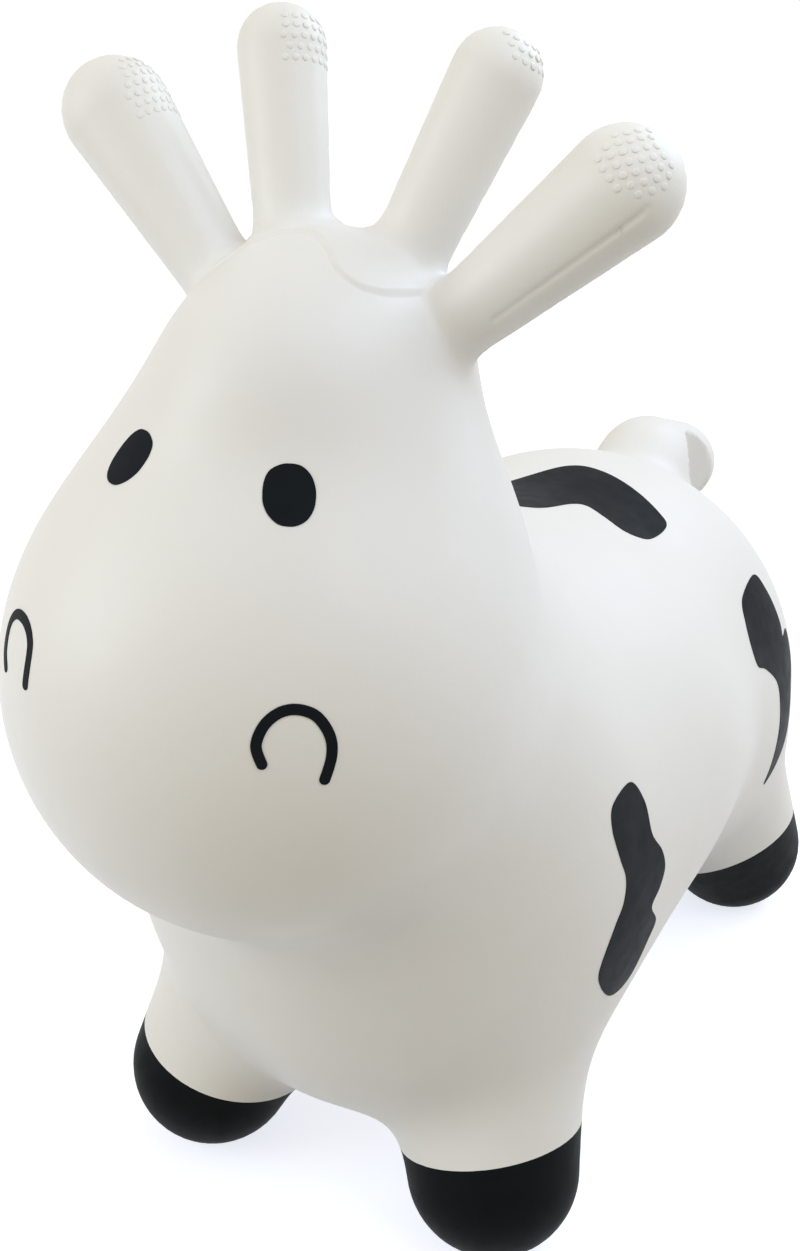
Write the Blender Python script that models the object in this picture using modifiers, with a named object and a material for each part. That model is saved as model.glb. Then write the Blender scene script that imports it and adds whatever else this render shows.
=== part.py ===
"""Inflatable ride-on cow.

One air-filled, rotation-moulded skin, divided where the real one flexes or changes colour: trunk, head,
four legs with black hooves, two horns and two ears to hold on to, a curled tail, the air valve in the belly
with its stopper, and the black painted eyes, nostrils and patches.

Metres, +Z up. The cow looks along -Y, its left side is at +X, and it stands on z = 0.
Run with: blender --background --python part.py
"""

import math
from dataclasses import dataclass

import bmesh
import bpy
import numpy as np
from mathutils import Matrix, Vector

# Skin
WALL = 0.0025
SEAM_GAP = 0.0003
SKIN_STEP = 0.022
SHORTEST_EDGE_SHARE = 0.3
MIRROR_MERGE_DISTANCE = 0.0001
TURN_MERGE_DISTANCE = 0.00001
RELAX_ROUNDS = 12
SOLVE_ROUNDS = 30

# Head: middle and half sizes of the swellings it is blended from
CRANIUM_MIDDLE = (0.0, -0.1640, 0.3890)
CRANIUM_HALF = (0.0465, 0.0640, 0.0465)
FACE_MIDDLE = (0.0, -0.1760, 0.3275)
FACE_HALF = (0.0725, 0.0620, 0.0830)
MUZZLE_MIDDLE = (0.0, -0.1985, 0.2890)
MUZZLE_HALF = (0.0920, 0.0885, 0.0930)
THROAT_MIDDLE = (0.0, -0.1230, 0.2265)
THROAT_HALF = (0.0915, 0.0705, 0.0830)
NECK_TOP = (0.0, -0.1385, 0.3040)
NECK_TOP_RADIUS = 0.0510
NECK_FOOT = (0.0, -0.0905, 0.1995)
NECK_FOOT_RADIUS = 0.0785

# Trunk
CHEST_MIDDLE = (0.0, -0.0755, 0.1460)
CHEST_HALF = (0.1065, 0.1060, 0.1125)
WAIST_MIDDLE = (0.0, 0.0030, 0.1750)
WAIST_HALF = (0.1205, 0.1230, 0.1005)
RUMP_MIDDLE = (0.0, 0.1085, 0.1535)
RUMP_HALF = (0.1150, 0.1160, 0.1160)

# How far from a crease each blend starts to fill it
HEAD_BLEND = 0.039
THROAT_BLEND = 0.052
NECK_BLEND = 0.064
TRUNK_BLEND = 0.052
SHOULDER_BLEND = 0.1065
LEG_BLEND = 0.033

# Cut between head and trunk, leaning up to the nape
NECK_CUT_POINT = (0.0, -0.150, 0.208)
NECK_CUT_LEAN_DEGREES = 43.0

# Legs of the left side: hip, hoof ball, hoof line and the ball that the trunk is opened with
FRONT_HIP = (0.0487, -0.0932, 0.1060)
FRONT_HIP_RADIUS = 0.0440
FRONT_FOOT_SIDE = 0.0699
FRONT_FOOT_BACK = -0.1198
FRONT_FOOT_RADIUS = 0.0370
FRONT_HOOF_HEIGHT = 0.0157
FRONT_HOOF_RIGHT_DROP = 0.0043
FRONT_HOOF_UP_SHARES = (-0.31, 0.14, 0.94)
FRONT_HOOF_MARGIN = 0.006
FRONT_BULB_RISE = 0.013
REAR_HIP = (0.0565, 0.1413, 0.1136)
REAR_HIP_RADIUS = 0.0515
REAR_FOOT_SIDE = 0.0817
REAR_FOOT_BACK = 0.1855
REAR_FOOT_RADIUS = 0.0370
REAR_HOOF_HEIGHT = 0.0116
REAR_HOOF_RIGHT_DROP = 0.0
REAR_HOOF_UP_SHARES = (-0.48, -0.08, 0.87)
REAR_HOOF_MARGIN = 0.008
REAR_BULB_RISE = 0.022
BULB_MARGIN = 0.0015
SOLE_FLAT_DEPTH = 0.0022

# Horns, ears and tail: a point inside the skin they aim from, their tip, radii and rise of the root
HORN_AIM = (0.0232, -0.1457, 0.4320)
HORN_TIP = (0.0400, -0.1258, 0.4847)
HORN_ROOT_RADIUS = 0.0136
HORN_TIP_RADIUS = 0.0153
EAR_AIM = (0.0409, -0.1572, 0.4054)
EAR_TIP = (0.0940, -0.1461, 0.4601)
EAR_ROOT_RADIUS = 0.0140
EAR_TIP_RADIUS = 0.0191
TAIL_AIM = (0.0, 0.1500, 0.1900)
TAIL_OUT_SHARES = (0.0, 0.86, 0.50)
TAIL_START_DEGREES = 25.0
TAIL_DROOP_DEGREES = 65.0
TAIL_ROOT_RADIUS = 0.0260
TAIL_TIP_RADIUS = 0.0240
TAIL_LENGTH = 0.052
STUB_RISE_SHARE = 0.64
STUB_ROOT_GAP = 0.0005
STUB_SIDES = 12
STUB_CAP_RINGS = 3
STUB_WALL = 0.0025
AIR_PASSAGE_RADIUS = 0.004

# Air valve in the belly
VALVE_BACK = 0.0160
VALVE_SEAT_RADIUS = 0.0110
VALVE_SEAT_HEIGHT = 0.0070
VALVE_SEAT_SINK = 0.0004
VALVE_BORE_RADIUS = 0.0048
VALVE_SIDES = 16
STEM_CLEARANCE = 0.0004
STEM_LENGTH = 0.0190
STEM_NECK_SHARE = 0.8
STEM_RIBS = 3
FLANGE_RADIUS = 0.0095
FLANGE_THICKNESS = 0.0020
PULL_TAB_RADIUS = 0.0032
PULL_TAB_HEIGHT = 0.0030

# Painted films, laid on the skin
FILM_GAP = 0.0003
FILM_THICKNESS = 0.0006
LIP_THICKNESS = 0.0014
FILM_REACH = 0.030
EYE_SIDE = 0.0289
EYE_RISE = 0.0460
EYE_WIDTH = 0.0162
EYE_TALLNESS = 0.0200
EYE_SQUARENESS = 2.6
NOSTRIL_SIDE = 0.0523
NOSTRIL_LEFT_RISE = 0.0205
NOSTRIL_RIGHT_RISE = 0.0250
NOSTRIL_WIDTH = 0.0262
NOSTRIL_TALLNESS = 0.0205
NOSTRIL_STROKE = 0.0035
LIP_AHEAD = 0.0115
LIP_WIDTH = 0.071
LIP_DEPTH = 0.024
LIP_STROKE = 0.0042
BACK_SPOT_SIDE = 0.0053
BACK_SPOT_BEHIND = 0.0595
BACK_SPOT_WIDTH = 0.098
BACK_SPOT_LENGTH = 0.090
SHOULDER_SPOT_AHEAD = 0.0235
SHOULDER_SPOT_RISE = 0.0315
SHOULDER_SPOT_WIDTH = 0.0445
SHOULDER_SPOT_LENGTH = 0.1020
RUMP_SPOT_AHEAD = 0.0050
RUMP_SPOT_RISE = 0.0265
RUMP_SPOT_WIDTH = 0.0605
RUMP_SPOT_LENGTH = 0.1060

# Outlines as shares of half the width and half the length, across and up, walked round once
BACK_SPOT_SHARES = (
    (0.72, -0.30), (0.36, -0.46), (0.10, -0.82), (-0.18, -0.86), (-0.52, -0.72), (-0.84, -0.52),
    (-0.98, -0.34), (-1.0, -0.02), (-0.92, 0.24), (-0.72, 0.32), (-0.42, 0.22), (-0.22, 0.24), (-0.10, 0.50),
    (0.02, 0.92), (0.28, 1.0), (0.56, 0.86), (0.64, 0.30),
)
SHOULDER_SPOT_SHARES = (
    (-0.02, 1.0), (-0.62, 0.96), (-0.94, 0.76), (-0.76, 0.48), (-0.44, 0.26), (-0.40, 0.02), (-0.66, -0.26),
    (-0.80, -0.52), (-0.62, -0.78), (-0.16, -1.0), (0.36, -1.0), (0.80, -0.78), (0.98, -0.44), (0.84, -0.22),
    (0.98, -0.02), (0.80, 0.18), (0.42, 0.46), (0.20, 0.78),
)
RUMP_SPOT_SHARES = (
    (0.30, 0.98), (-0.24, 1.0), (-0.64, 0.86), (-0.94, 0.66), (-1.0, 0.42), (-0.72, 0.26), (-0.30, 0.06),
    (-0.16, -0.22), (-0.06, -0.62), (-0.04, -1.0), (0.34, -0.94), (0.76, -0.66), (0.74, -0.24), (0.98, 0.04),
    (0.90, 0.30), (0.62, 0.38), (0.60, 0.74),
)
NOSTRIL_SHARES = (
    (-0.76, -1.0), (-0.98, -0.20), (-0.84, 0.40), (-0.45, 0.88), (0.02, 1.0), (0.52, 0.84), (0.88, 0.30),
    (0.94, -0.30), (0.76, -1.0),
)
LIP_SHARES = (
    (0.94, -0.10), (0.88, 0.40), (0.76, 0.82), (0.60, 0.96), (0.46, 0.84), (0.30, 0.48), (0.14, 0.0),
    (0.0, -0.42), (-0.14, 0.0), (-0.30, 0.48), (-0.46, 0.84), (-0.60, 0.96), (-0.76, 0.82), (-0.88, 0.40),
    (-0.94, -0.10),
)

# Colours, linear red, green and blue
WHITE_SKIN = (0.80, 0.79, 0.75)
CREAM_SKIN = (0.76, 0.73, 0.64)
BLACK_PAINT = (0.010, 0.012, 0.016)
PLUG_WHITE = (0.70, 0.70, 0.68)

CUTTER_REACH = 0.6
SIDES = (("left", 1.0), ("right", -1.0))


@dataclass(frozen=True)
class Leg:
    """A leg of the left side: a tapered limb from the hip to the hoof ball, and its hoof line."""

    name: str
    hip: tuple
    hip_radius: float
    foot: tuple
    foot_radius: float
    hoof_height: float
    right_drop: float
    hoof_up: tuple
    hoof_margin: float
    bulb_rise: float


LEGS = (
    Leg(
        "front",
        FRONT_HIP,
        FRONT_HIP_RADIUS,
        (FRONT_FOOT_SIDE, FRONT_FOOT_BACK, FRONT_FOOT_RADIUS - SOLE_FLAT_DEPTH),
        FRONT_FOOT_RADIUS,
        FRONT_HOOF_HEIGHT,
        FRONT_HOOF_RIGHT_DROP,
        FRONT_HOOF_UP_SHARES,
        FRONT_HOOF_MARGIN,
        FRONT_BULB_RISE,
    ),
    Leg(
        "rear",
        REAR_HIP,
        REAR_HIP_RADIUS,
        (REAR_FOOT_SIDE, REAR_FOOT_BACK, REAR_FOOT_RADIUS - SOLE_FLAT_DEPTH),
        REAR_FOOT_RADIUS,
        REAR_HOOF_HEIGHT,
        REAR_HOOF_RIGHT_DROP,
        REAR_HOOF_UP_SHARES,
        REAR_HOOF_MARGIN,
        REAR_BULB_RISE,
    ),
)


# The skin as distances: negative inside, positive outside


def ellipsoid(points, middle, half):
    """Distance from the points to an ellipsoid, true close to its surface."""
    offset = points - np.array(middle)
    half = np.array(half)
    scaled = np.linalg.norm(offset / half, axis=1)
    slope = np.linalg.norm(offset / half**2, axis=1)
    return scaled * (scaled - 1) / slope


def limb(points, top, top_radius, foot, foot_radius):
    """Distance from the points to a ball swept along a line while its radius changes."""
    top = np.array(top)
    along = np.array(foot) - top
    length = np.linalg.norm(along)
    taper = (top_radius - foot_radius) / length
    offset = points - top
    height = offset @ along / length
    aside = np.linalg.norm(offset - np.outer(height, along / length), axis=1)
    seat = np.clip(height - aside * taper / math.sqrt(1 - taper**2), 0, length)
    return np.hypot(aside, height - seat) - top_radius + taper * seat


def blended(first, second, reach):
    """The nearer of two distances, with the crease between the shapes filled over the reach."""
    overlap = np.maximum(reach - np.abs(first - second), 0) / reach
    return np.minimum(first, second) - overlap**3 * reach / 6


def head_distance(points):
    crown = blended(
        ellipsoid(points, CRANIUM_MIDDLE, CRANIUM_HALF), ellipsoid(points, FACE_MIDDLE, FACE_HALF), HEAD_BLEND
    )
    return blended(crown, ellipsoid(points, MUZZLE_MIDDLE, MUZZLE_HALF), HEAD_BLEND)


def neck_distance(points):
    neck = limb(points, NECK_TOP, NECK_TOP_RADIUS, NECK_FOOT, NECK_FOOT_RADIUS)
    return blended(neck, ellipsoid(points, THROAT_MIDDLE, THROAT_HALF), THROAT_BLEND)


def trunk_distance(points):
    front = blended(
        ellipsoid(points, CHEST_MIDDLE, CHEST_HALF), ellipsoid(points, WAIST_MIDDLE, WAIST_HALF), TRUNK_BLEND
    )
    return blended(front, ellipsoid(points, RUMP_MIDDLE, RUMP_HALF), TRUNK_BLEND)


def mirrored(place, side):
    return (place[0] * side, place[1], place[2])


def skin_distance(points):
    """Distance to the whole moulded skin, without horns, ears and tail."""
    body = blended(
        trunk_distance(points), blended(head_distance(points), neck_distance(points), NECK_BLEND), SHOULDER_BLEND
    )
    for leg in LEGS:
        for _, side in SIDES:
            hip = mirrored(leg.hip, side)
            foot = mirrored(leg.foot, side)
            body = blended(body, limb(points, hip, leg.hip_radius, foot, leg.foot_radius), LEG_BLEND)
    return body


def skin_slope(points):
    """How the distance grows along X, Y and Z."""
    slopes = []
    for axis in np.eye(3) * WALL:
        slopes.append((skin_distance(points + axis) - skin_distance(points - axis)) / (2 * WALL))
    return np.stack(slopes, axis=1)


def settled(points, level, rounds):
    """The points moved straight out or in, until they lie at this height over the skin."""
    for _ in range(rounds):
        slope = skin_slope(points)
        size = np.maximum((slope**2).sum(axis=1), 0.25)
        points = points - slope * ((skin_distance(points) - level) / size)[:, None]
    return points


def out_to(start, direction, level):
    """The first point at this height over the skin on the way from a start inside it."""
    direction = np.array(direction) / np.linalg.norm(direction)
    point = np.array(start, float)
    for _ in range(SOLVE_ROUNDS * 2):
        point = point + direction * (level - skin_distance(point[None])[0]) * 0.8
    return point


def outward(point):
    slope = skin_slope(point[None])[0]
    return slope / np.linalg.norm(slope)


# Blender objects


def clear_scene():
    for obj in list(bpy.data.objects):
        bpy.data.objects.remove(obj, do_unlink=True)


def new_collection(name):
    collection = bpy.data.collections.new(name)
    bpy.context.scene.collection.children.link(collection)
    return collection


def material(name, colour, roughness):
    made = bpy.data.materials.new(name)
    made.use_nodes = True
    shader = made.node_tree.nodes["Principled BSDF"]
    shader.inputs["Base Color"].default_value = (*colour, 1)
    shader.inputs["Roughness"].default_value = roughness
    shader.inputs["Metallic"].default_value = 0
    made.diffuse_color = (*colour, 1)
    return made


def add_object(name, mesh, collection, finish=None):
    obj = bpy.data.objects.new(name, mesh)
    collection.objects.link(obj)
    if finish:
        mesh.materials.append(finish)
        mesh.shade_smooth()
        mesh.set_sharp_from_angle(angle=math.radians(40))
    return obj


def add_cutter(name, mesh, collection):
    obj = add_object(name, mesh, collection)
    obj.hide_render = True
    obj.display_type = "WIRE"
    return obj


def cut(obj, cutter, operation):
    step = obj.modifiers.new(f"{operation.lower()} {cutter.name}", "BOOLEAN")
    step.operation = operation
    step.object = cutter


def mesh_from(name, build):
    """A mesh that the given function fills in a bmesh."""
    work = bmesh.new()
    build(work)
    mesh = bpy.data.meshes.new(name)
    work.to_mesh(mesh)
    work.free()
    return mesh


def evaluated_mesh(obj):
    """The object's mesh as its modifiers leave it, in world space. The object is removed."""
    graph = bpy.context.evaluated_depsgraph_get()
    mesh = bpy.data.meshes.new_from_object(obj.evaluated_get(graph))
    mesh.transform(obj.matrix_world)
    bpy.data.objects.remove(obj)
    return mesh


def corners_of(mesh):
    places = np.empty(len(mesh.vertices) * 3)
    mesh.vertices.foreach_get("co", places)
    return places.reshape(-1, 3)


def set_corners(mesh, places):
    mesh.vertices.foreach_set("co", places.reshape(-1))
    mesh.update()


def facing(direction, up=(0, 0, 1)):
    """Rotation whose Z looks along the direction and whose Y leans to the given up."""
    z = Vector(direction).normalized()
    x = Vector(up).cross(z).normalized()
    y = z.cross(x)
    return Matrix((x, y, z)).transposed().to_4x4()


def placed(point, direction, up=(0, 0, 1)):
    return Matrix.Translation(Vector(point)) @ facing(direction, up)


# Forms of the skin


def rough_body(work):
    """Overlapping balls and swept balls, as a start for the skin's mesh."""
    swellings = (
        (CRANIUM_MIDDLE, CRANIUM_HALF),
        (FACE_MIDDLE, FACE_HALF),
        (MUZZLE_MIDDLE, MUZZLE_HALF),
        (THROAT_MIDDLE, THROAT_HALF),
        (CHEST_MIDDLE, CHEST_HALF),
        (WAIST_MIDDLE, WAIST_HALF),
        (RUMP_MIDDLE, RUMP_HALF),
    )
    for middle, half in swellings:
        place = Matrix.Translation(middle) @ Matrix.Diagonal((*half, 1))
        bmesh.ops.create_uvsphere(work, u_segments=32, v_segments=16, radius=1, matrix=place)
    limbs = [(NECK_TOP, NECK_TOP_RADIUS, NECK_FOOT, NECK_FOOT_RADIUS)]
    for leg in LEGS:
        for _, side in SIDES:
            limbs.append((mirrored(leg.hip, side), leg.hip_radius, mirrored(leg.foot, side), leg.foot_radius))
    for top, top_radius, foot, foot_radius in limbs:
        ends = []
        for middle, radius in ((top, top_radius), (foot, foot_radius)):
            place = Matrix.Translation(middle)
            ball = bmesh.ops.create_uvsphere(work, u_segments=24, v_segments=12, radius=radius, matrix=place)
            ends += ball["verts"]
        hull = bmesh.ops.convex_hull(work, input=ends)
        bmesh.ops.delete(work, geom=hull["geom_interior"], context="VERTS")


def skin_mesh(collection):
    """The whole closed skin as an even mesh, the same on both sides."""
    rough = add_object("rough body", mesh_from("rough body", rough_body), collection)
    remesh = rough.modifiers.new("even", "REMESH")
    remesh.mode = "VOXEL"
    remesh.voxel_size = SKIN_STEP
    half = rough.modifiers.new("both sides alike", "MIRROR")
    half.use_bisect_axis[0] = True
    half.merge_threshold = MIRROR_MERGE_DISTANCE
    mesh = evaluated_mesh(rough)
    relax(mesh, RELAX_ROUNDS)
    work = bmesh.new()
    work.from_mesh(mesh)
    bmesh.ops.remove_doubles(work, verts=work.verts, dist=SKIN_STEP * SHORTEST_EDGE_SHARE)
    bmesh.ops.triangulate(work, faces=work.faces, quad_method="SHORT_EDGE")
    work.to_mesh(mesh)
    work.free()
    relax(mesh, RELAX_ROUNDS)
    return mesh


def relax(mesh, rounds):
    """Spaces the corners of the mesh evenly and lays them on the skin."""
    ends = np.empty(len(mesh.edges) * 2, int)
    mesh.edges.foreach_get("vertices", ends)
    ends = ends.reshape(-1, 2)
    places = settled(corners_of(mesh), 0, SOLVE_ROUNDS)
    count = np.bincount(ends.reshape(-1), minlength=len(places))[:, None]
    for _ in range(rounds):
        around = np.zeros_like(places)
        np.add.at(around, ends[:, 0], places[ends[:, 1]])
        np.add.at(around, ends[:, 1], places[ends[:, 0]])
        places = settled((places + around / count) / 2, 0, 3)
    set_corners(mesh, places)


def at_level(mesh, level):
    """A copy of the skin's mesh, moved out or in to this height over the skin."""
    copy = mesh.copy()
    set_corners(copy, settled(corners_of(mesh), level, SOLVE_ROUNDS))
    return copy


def half_space(point, normal, lift):
    """A block that fills everything on the far side of a plane, lifted along its normal."""

    def build(work):
        bmesh.ops.create_cube(work, size=CUTTER_REACH * 2)
        bmesh.ops.translate(work, vec=(0, 0, CUTTER_REACH + lift), verts=work.verts)
        bmesh.ops.transform(work, matrix=placed(point, normal, (0, 1, 0)), verts=work.verts)

    return mesh_from("half space", build)


def leg_region(leg, side, shrink):
    """A ball round the hoof and the upper leg, which the trunk is cut open for."""
    foot = Vector(mirrored(leg.foot, side))
    to_hip = (Vector(mirrored(leg.hip, side)) - foot).normalized()
    return ball(foot + to_hip * leg.bulb_rise, leg.foot_radius + leg.bulb_rise + BULB_MARGIN - shrink)


def hoof_region(leg, side, grow):
    """A cylinder that stands in the slanting hoof line and reaches down past the floor."""
    up = Vector(mirrored(leg.hoof_up, side)).normalized()
    depth = leg.foot_radius * 3
    height = leg.hoof_height - (leg.right_drop if side < 0 else 0)
    top = Vector(mirrored(leg.foot, side)) + up * (height + grow)

    def build(work):
        radius = leg.foot_radius + leg.hoof_margin + grow
        bmesh.ops.create_cone(work, cap_ends=True, segments=32, radius1=radius, radius2=radius, depth=depth)
        bmesh.ops.transform(work, matrix=placed(top - up * depth / 2, up, (0, 1, 0)), verts=work.verts)

    return mesh_from("hoof region", build)


def ball(point, radius):
    def build(work):
        place = Matrix.Translation(Vector(point))
        bmesh.ops.create_uvsphere(work, u_segments=32, v_segments=16, radius=radius, matrix=place)

    return mesh_from("ball", build)


class Skin:
    """The skin's meshes at its levels, and the cutters that the pieces share."""

    def __init__(self, pieces, cutters):
        self.pieces = pieces
        self.cutters = cutters
        self.outer = skin_mesh(cutters)
        self.hollow = add_cutter("hollow", at_level(self.outer, -WALL), cutters)
        lean = math.radians(NECK_CUT_LEAN_DEGREES)
        up = (0, -math.sin(lean), math.cos(lean))
        self.above_neck = add_cutter("above neck", half_space(NECK_CUT_POINT, up, SEAM_GAP / 2), cutters)
        self.below_neck = add_cutter(
            "below neck", half_space(NECK_CUT_POINT, Vector(up) * -1, SEAM_GAP / 2), cutters
        )
        self.underground = add_cutter("underground", half_space((0, 0, 0), (0, 0, -1), 0), cutters)
        self.levels = {}

    def shell(self, name, finish):
        """A new piece that starts as the whole hollow skin."""
        return add_object(name, self.outer.copy(), self.pieces, finish)

    def film_level(self, level):
        """A cutter that fills the skin up to this height over it."""
        key = f"skin and {level * 1000:.2f} mm"
        if key not in self.levels:
            self.levels[key] = add_cutter(key, at_level(self.outer, level), self.cutters)
        return self.levels[key]


# Legs and hooves


def add_leg(skin, leg, side_name, side, white, black):
    """The white upper leg and the black hoof below its slanting line, both hollow."""
    name = f"{leg.name}_{side_name}"
    region = add_cutter(f"region {name}", leg_region(leg, side, SEAM_GAP), skin.cutters)
    below = add_cutter(f"below line {name}", hoof_region(leg, side, -SEAM_GAP / 2), skin.cutters)
    above = add_cutter(f"above line {name}", hoof_region(leg, side, SEAM_GAP / 2), skin.cutters)
    upper = skin.shell(f"leg_{name}", white)
    cut(upper, region, "INTERSECT")
    cut(upper, skin.hollow, "DIFFERENCE")
    cut(upper, above, "DIFFERENCE")
    hoof = skin.shell(f"hoof_{name}", black)
    cut(hoof, region, "INTERSECT")
    cut(hoof, below, "INTERSECT")
    cut(hoof, skin.hollow, "DIFFERENCE")
    cut(hoof, skin.underground, "DIFFERENCE")


# Horns, ears and tail


def bent_line(start, first, last, length, steps):
    """Points along a line that turns evenly from one direction to another."""
    first = Vector(first).normalized()
    last = Vector(last).normalized()
    points = [Vector(start)]
    for index in range(steps):
        points.append(points[-1] + first.slerp(last, (index + 0.5) / steps) * (length / steps))
    return points


def stub_curve(name, line, root_radius, tip_radius):
    """A tube with a round root about the line's start and a round tip, open for air at the root."""
    first = (line[1] - line[0]).normalized()
    last = (line[-1] - line[-2]).normalized()
    open_angle = math.asin(AIR_PASSAGE_RADIUS / root_radius)
    rings = []
    for index in range(STUB_CAP_RINGS):
        angle = open_angle + (math.pi / 2 - open_angle) * index / STUB_CAP_RINGS
        rings.append((line[0] - first * root_radius * math.cos(angle), root_radius * math.sin(angle)))
    for index, point in enumerate(line):
        share = index / (len(line) - 1)
        rings.append((point, root_radius + (tip_radius - root_radius) * share))
    for index in range(1, STUB_CAP_RINGS + 1):
        angle = math.pi / 2 * index / STUB_CAP_RINGS
        rings.append((line[-1] + last * tip_radius * math.sin(angle), tip_radius * math.cos(angle)))
    curve = bpy.data.curves.new(name, "CURVE")
    curve.dimensions = "3D"
    curve.bevel_depth = root_radius
    curve.bevel_resolution = (STUB_SIDES - 4) // 2
    spline = curve.splines.new("POLY")
    spline.points.add(len(rings) - 1)
    for point, (place, radius) in zip(spline.points, rings):
        point.co = (*place, 1)
        point.radius = max(radius, 0) / root_radius
    return curve


def add_stub(name, line, root_radius, tip_radius, collection, finish):
    """A hollow rubber stub whose origin is the middle of its round root."""
    curve = stub_curve(name, line, root_radius, tip_radius)
    guide = bpy.data.objects.new(name + " guide", curve)
    collection.objects.link(guide)
    bpy.context.view_layer.update()
    mesh = evaluated_mesh(guide)
    work = bmesh.new()
    work.from_mesh(mesh)
    bmesh.ops.remove_doubles(work, verts=work.verts, dist=root_radius / 500)
    bmesh.ops.recalc_face_normals(work, faces=work.faces)
    bmesh.ops.translate(work, vec=-line[0], verts=work.verts)
    work.to_mesh(mesh)
    work.free()
    obj = add_object(name, mesh, collection, finish)
    obj.location = line[0]
    wall = obj.modifiers.new("wall", "SOLIDIFY")
    wall.thickness = STUB_WALL
    wall.offset = -1
    wall.use_even_offset = True
    return obj


def head_stub_line(aim, tip, root_radius, side):
    """The line of a horn or an ear, from its root over the head to the middle of its round tip."""
    aim = mirrored(aim, side)
    tip = Vector(mirrored(tip, side))
    root = Vector(out_to(aim, tip - Vector(aim), root_radius * STUB_RISE_SHARE))
    return bent_line(root, tip - root, tip - root, (tip - root).length, 2)


def tail_line():
    """The tail's line: rising from the rump at first, then curling down."""
    root = Vector(out_to(TAIL_AIM, TAIL_OUT_SHARES, TAIL_ROOT_RADIUS * STUB_RISE_SHARE))
    rise = math.radians(TAIL_START_DEGREES)
    droop = math.radians(TAIL_DROOP_DEGREES)
    return bent_line(
        root, (0, math.cos(rise), math.sin(rise)), (0, math.cos(droop), -math.sin(droop)), TAIL_LENGTH, 6
    )


def stubs():
    """Name, line and radii of every horn, ear and tail."""
    found = []
    for side_name, side in SIDES:
        horn = head_stub_line(HORN_AIM, HORN_TIP, HORN_ROOT_RADIUS, side)
        found.append((f"horn_{side_name}", horn, HORN_ROOT_RADIUS, HORN_TIP_RADIUS))
        ear = head_stub_line(EAR_AIM, EAR_TIP, EAR_ROOT_RADIUS, side)
        found.append((f"ear_{side_name}", ear, EAR_ROOT_RADIUS, EAR_TIP_RADIUS))
    found.append(("tail", tail_line(), TAIL_ROOT_RADIUS, TAIL_TIP_RADIUS))
    return found


# Air valve


def valve_frame():
    """Place of the valve: its origin on the belly's skin, its Z out of the belly."""
    start = (0, VALVE_BACK, WAIST_MIDDLE[2])
    point = out_to(start, (0, 0, -1), 0)
    return placed(point, outward(point), (0, 1, 0))


def turned(name, profile, collection, finish, place):
    """A solid turned about Z from a profile of (radius, height) points, walked from top to bottom outside."""

    def build(work):
        corners = [work.verts.new((radius, 0, height)) for radius, height in profile]
        for first, second in zip(corners, corners[1:]):
            work.edges.new((first, second))
        if profile[0][0] > 0:
            work.edges.new((corners[-1], corners[0]))

    mesh = mesh_from(name, build)
    obj = add_object(name, mesh, collection)
    screw = obj.modifiers.new("turn", "SCREW")
    screw.steps = VALVE_SIDES
    screw.render_steps = VALVE_SIDES
    screw.use_merge_vertices = True
    screw.merge_threshold = TURN_MERGE_DISTANCE
    screw.use_smooth_shade = True
    obj.matrix_world = place
    mesh.materials.append(finish)
    return obj


def add_valve_seat(collection, finish):
    """The thick ring moulded into the belly round the valve's bore."""
    low = -VALVE_SEAT_SINK - VALVE_SEAT_HEIGHT
    profile = (
        (VALVE_SEAT_RADIUS - SEAM_GAP, -VALVE_SEAT_SINK),
        (VALVE_SEAT_RADIUS - SEAM_GAP, low),
        (VALVE_BORE_RADIUS, low),
        (VALVE_BORE_RADIUS, -VALVE_SEAT_SINK),
    )
    return turned("valve_seat", profile, collection, finish, valve_frame())


def add_stopper(collection, finish):
    """The plug: a grip tab and a flange outside, a stem with barbed ribs inside the bore."""
    face = SEAM_GAP - VALVE_SEAT_SINK
    stem = VALVE_BORE_RADIUS - STEM_CLEARANCE
    neck = stem * STEM_NECK_SHARE
    profile = [
        (0, face + FLANGE_THICKNESS + PULL_TAB_HEIGHT),
        (PULL_TAB_RADIUS, face + FLANGE_THICKNESS + PULL_TAB_HEIGHT),
        (PULL_TAB_RADIUS, face + FLANGE_THICKNESS),
        (FLANGE_RADIUS, face + FLANGE_THICKNESS),
        (FLANGE_RADIUS, face),
        (stem, face),
    ]
    pitch = STEM_LENGTH / STEM_RIBS
    for index in range(STEM_RIBS):
        top = face - pitch * index
        profile.append((stem, top - pitch / 3))
        profile.append((neck, top - pitch / 2))
        profile.append((neck, top - pitch * 5 / 6))
        profile.append((stem, top - pitch))
    profile[-1] = (neck * STEM_NECK_SHARE, face - STEM_LENGTH)
    profile.append((0, face - STEM_LENGTH))
    return turned("valve_stopper", profile, collection, finish, valve_frame())


# Painted films


def stroke_outline(points, width):
    """The closed outline of a pen stroke along the points."""
    middle = np.array(points)
    run = np.gradient(middle, axis=0)
    aside = np.stack([-run[:, 1], run[:, 0]], axis=1)
    aside = aside / np.linalg.norm(aside, axis=1)[:, None] * width / 2
    return [tuple(point) for point in np.concatenate([middle + aside, (middle - aside)[::-1]])]


def squared_oval(width, tallness, squareness, count=10):
    points = []
    for index in range(count):
        angle = 2 * math.pi * index / count
        across = math.copysign(abs(math.cos(angle)) ** (2 / squareness), math.cos(angle))
        up = math.copysign(abs(math.sin(angle)) ** (2 / squareness), math.sin(angle))
        points.append((across * width / 2, up * tallness / 2))
    return points


def sized(shares, width, length):
    return [(across * width / 2, up * length / 2) for across, up in shares]


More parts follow.
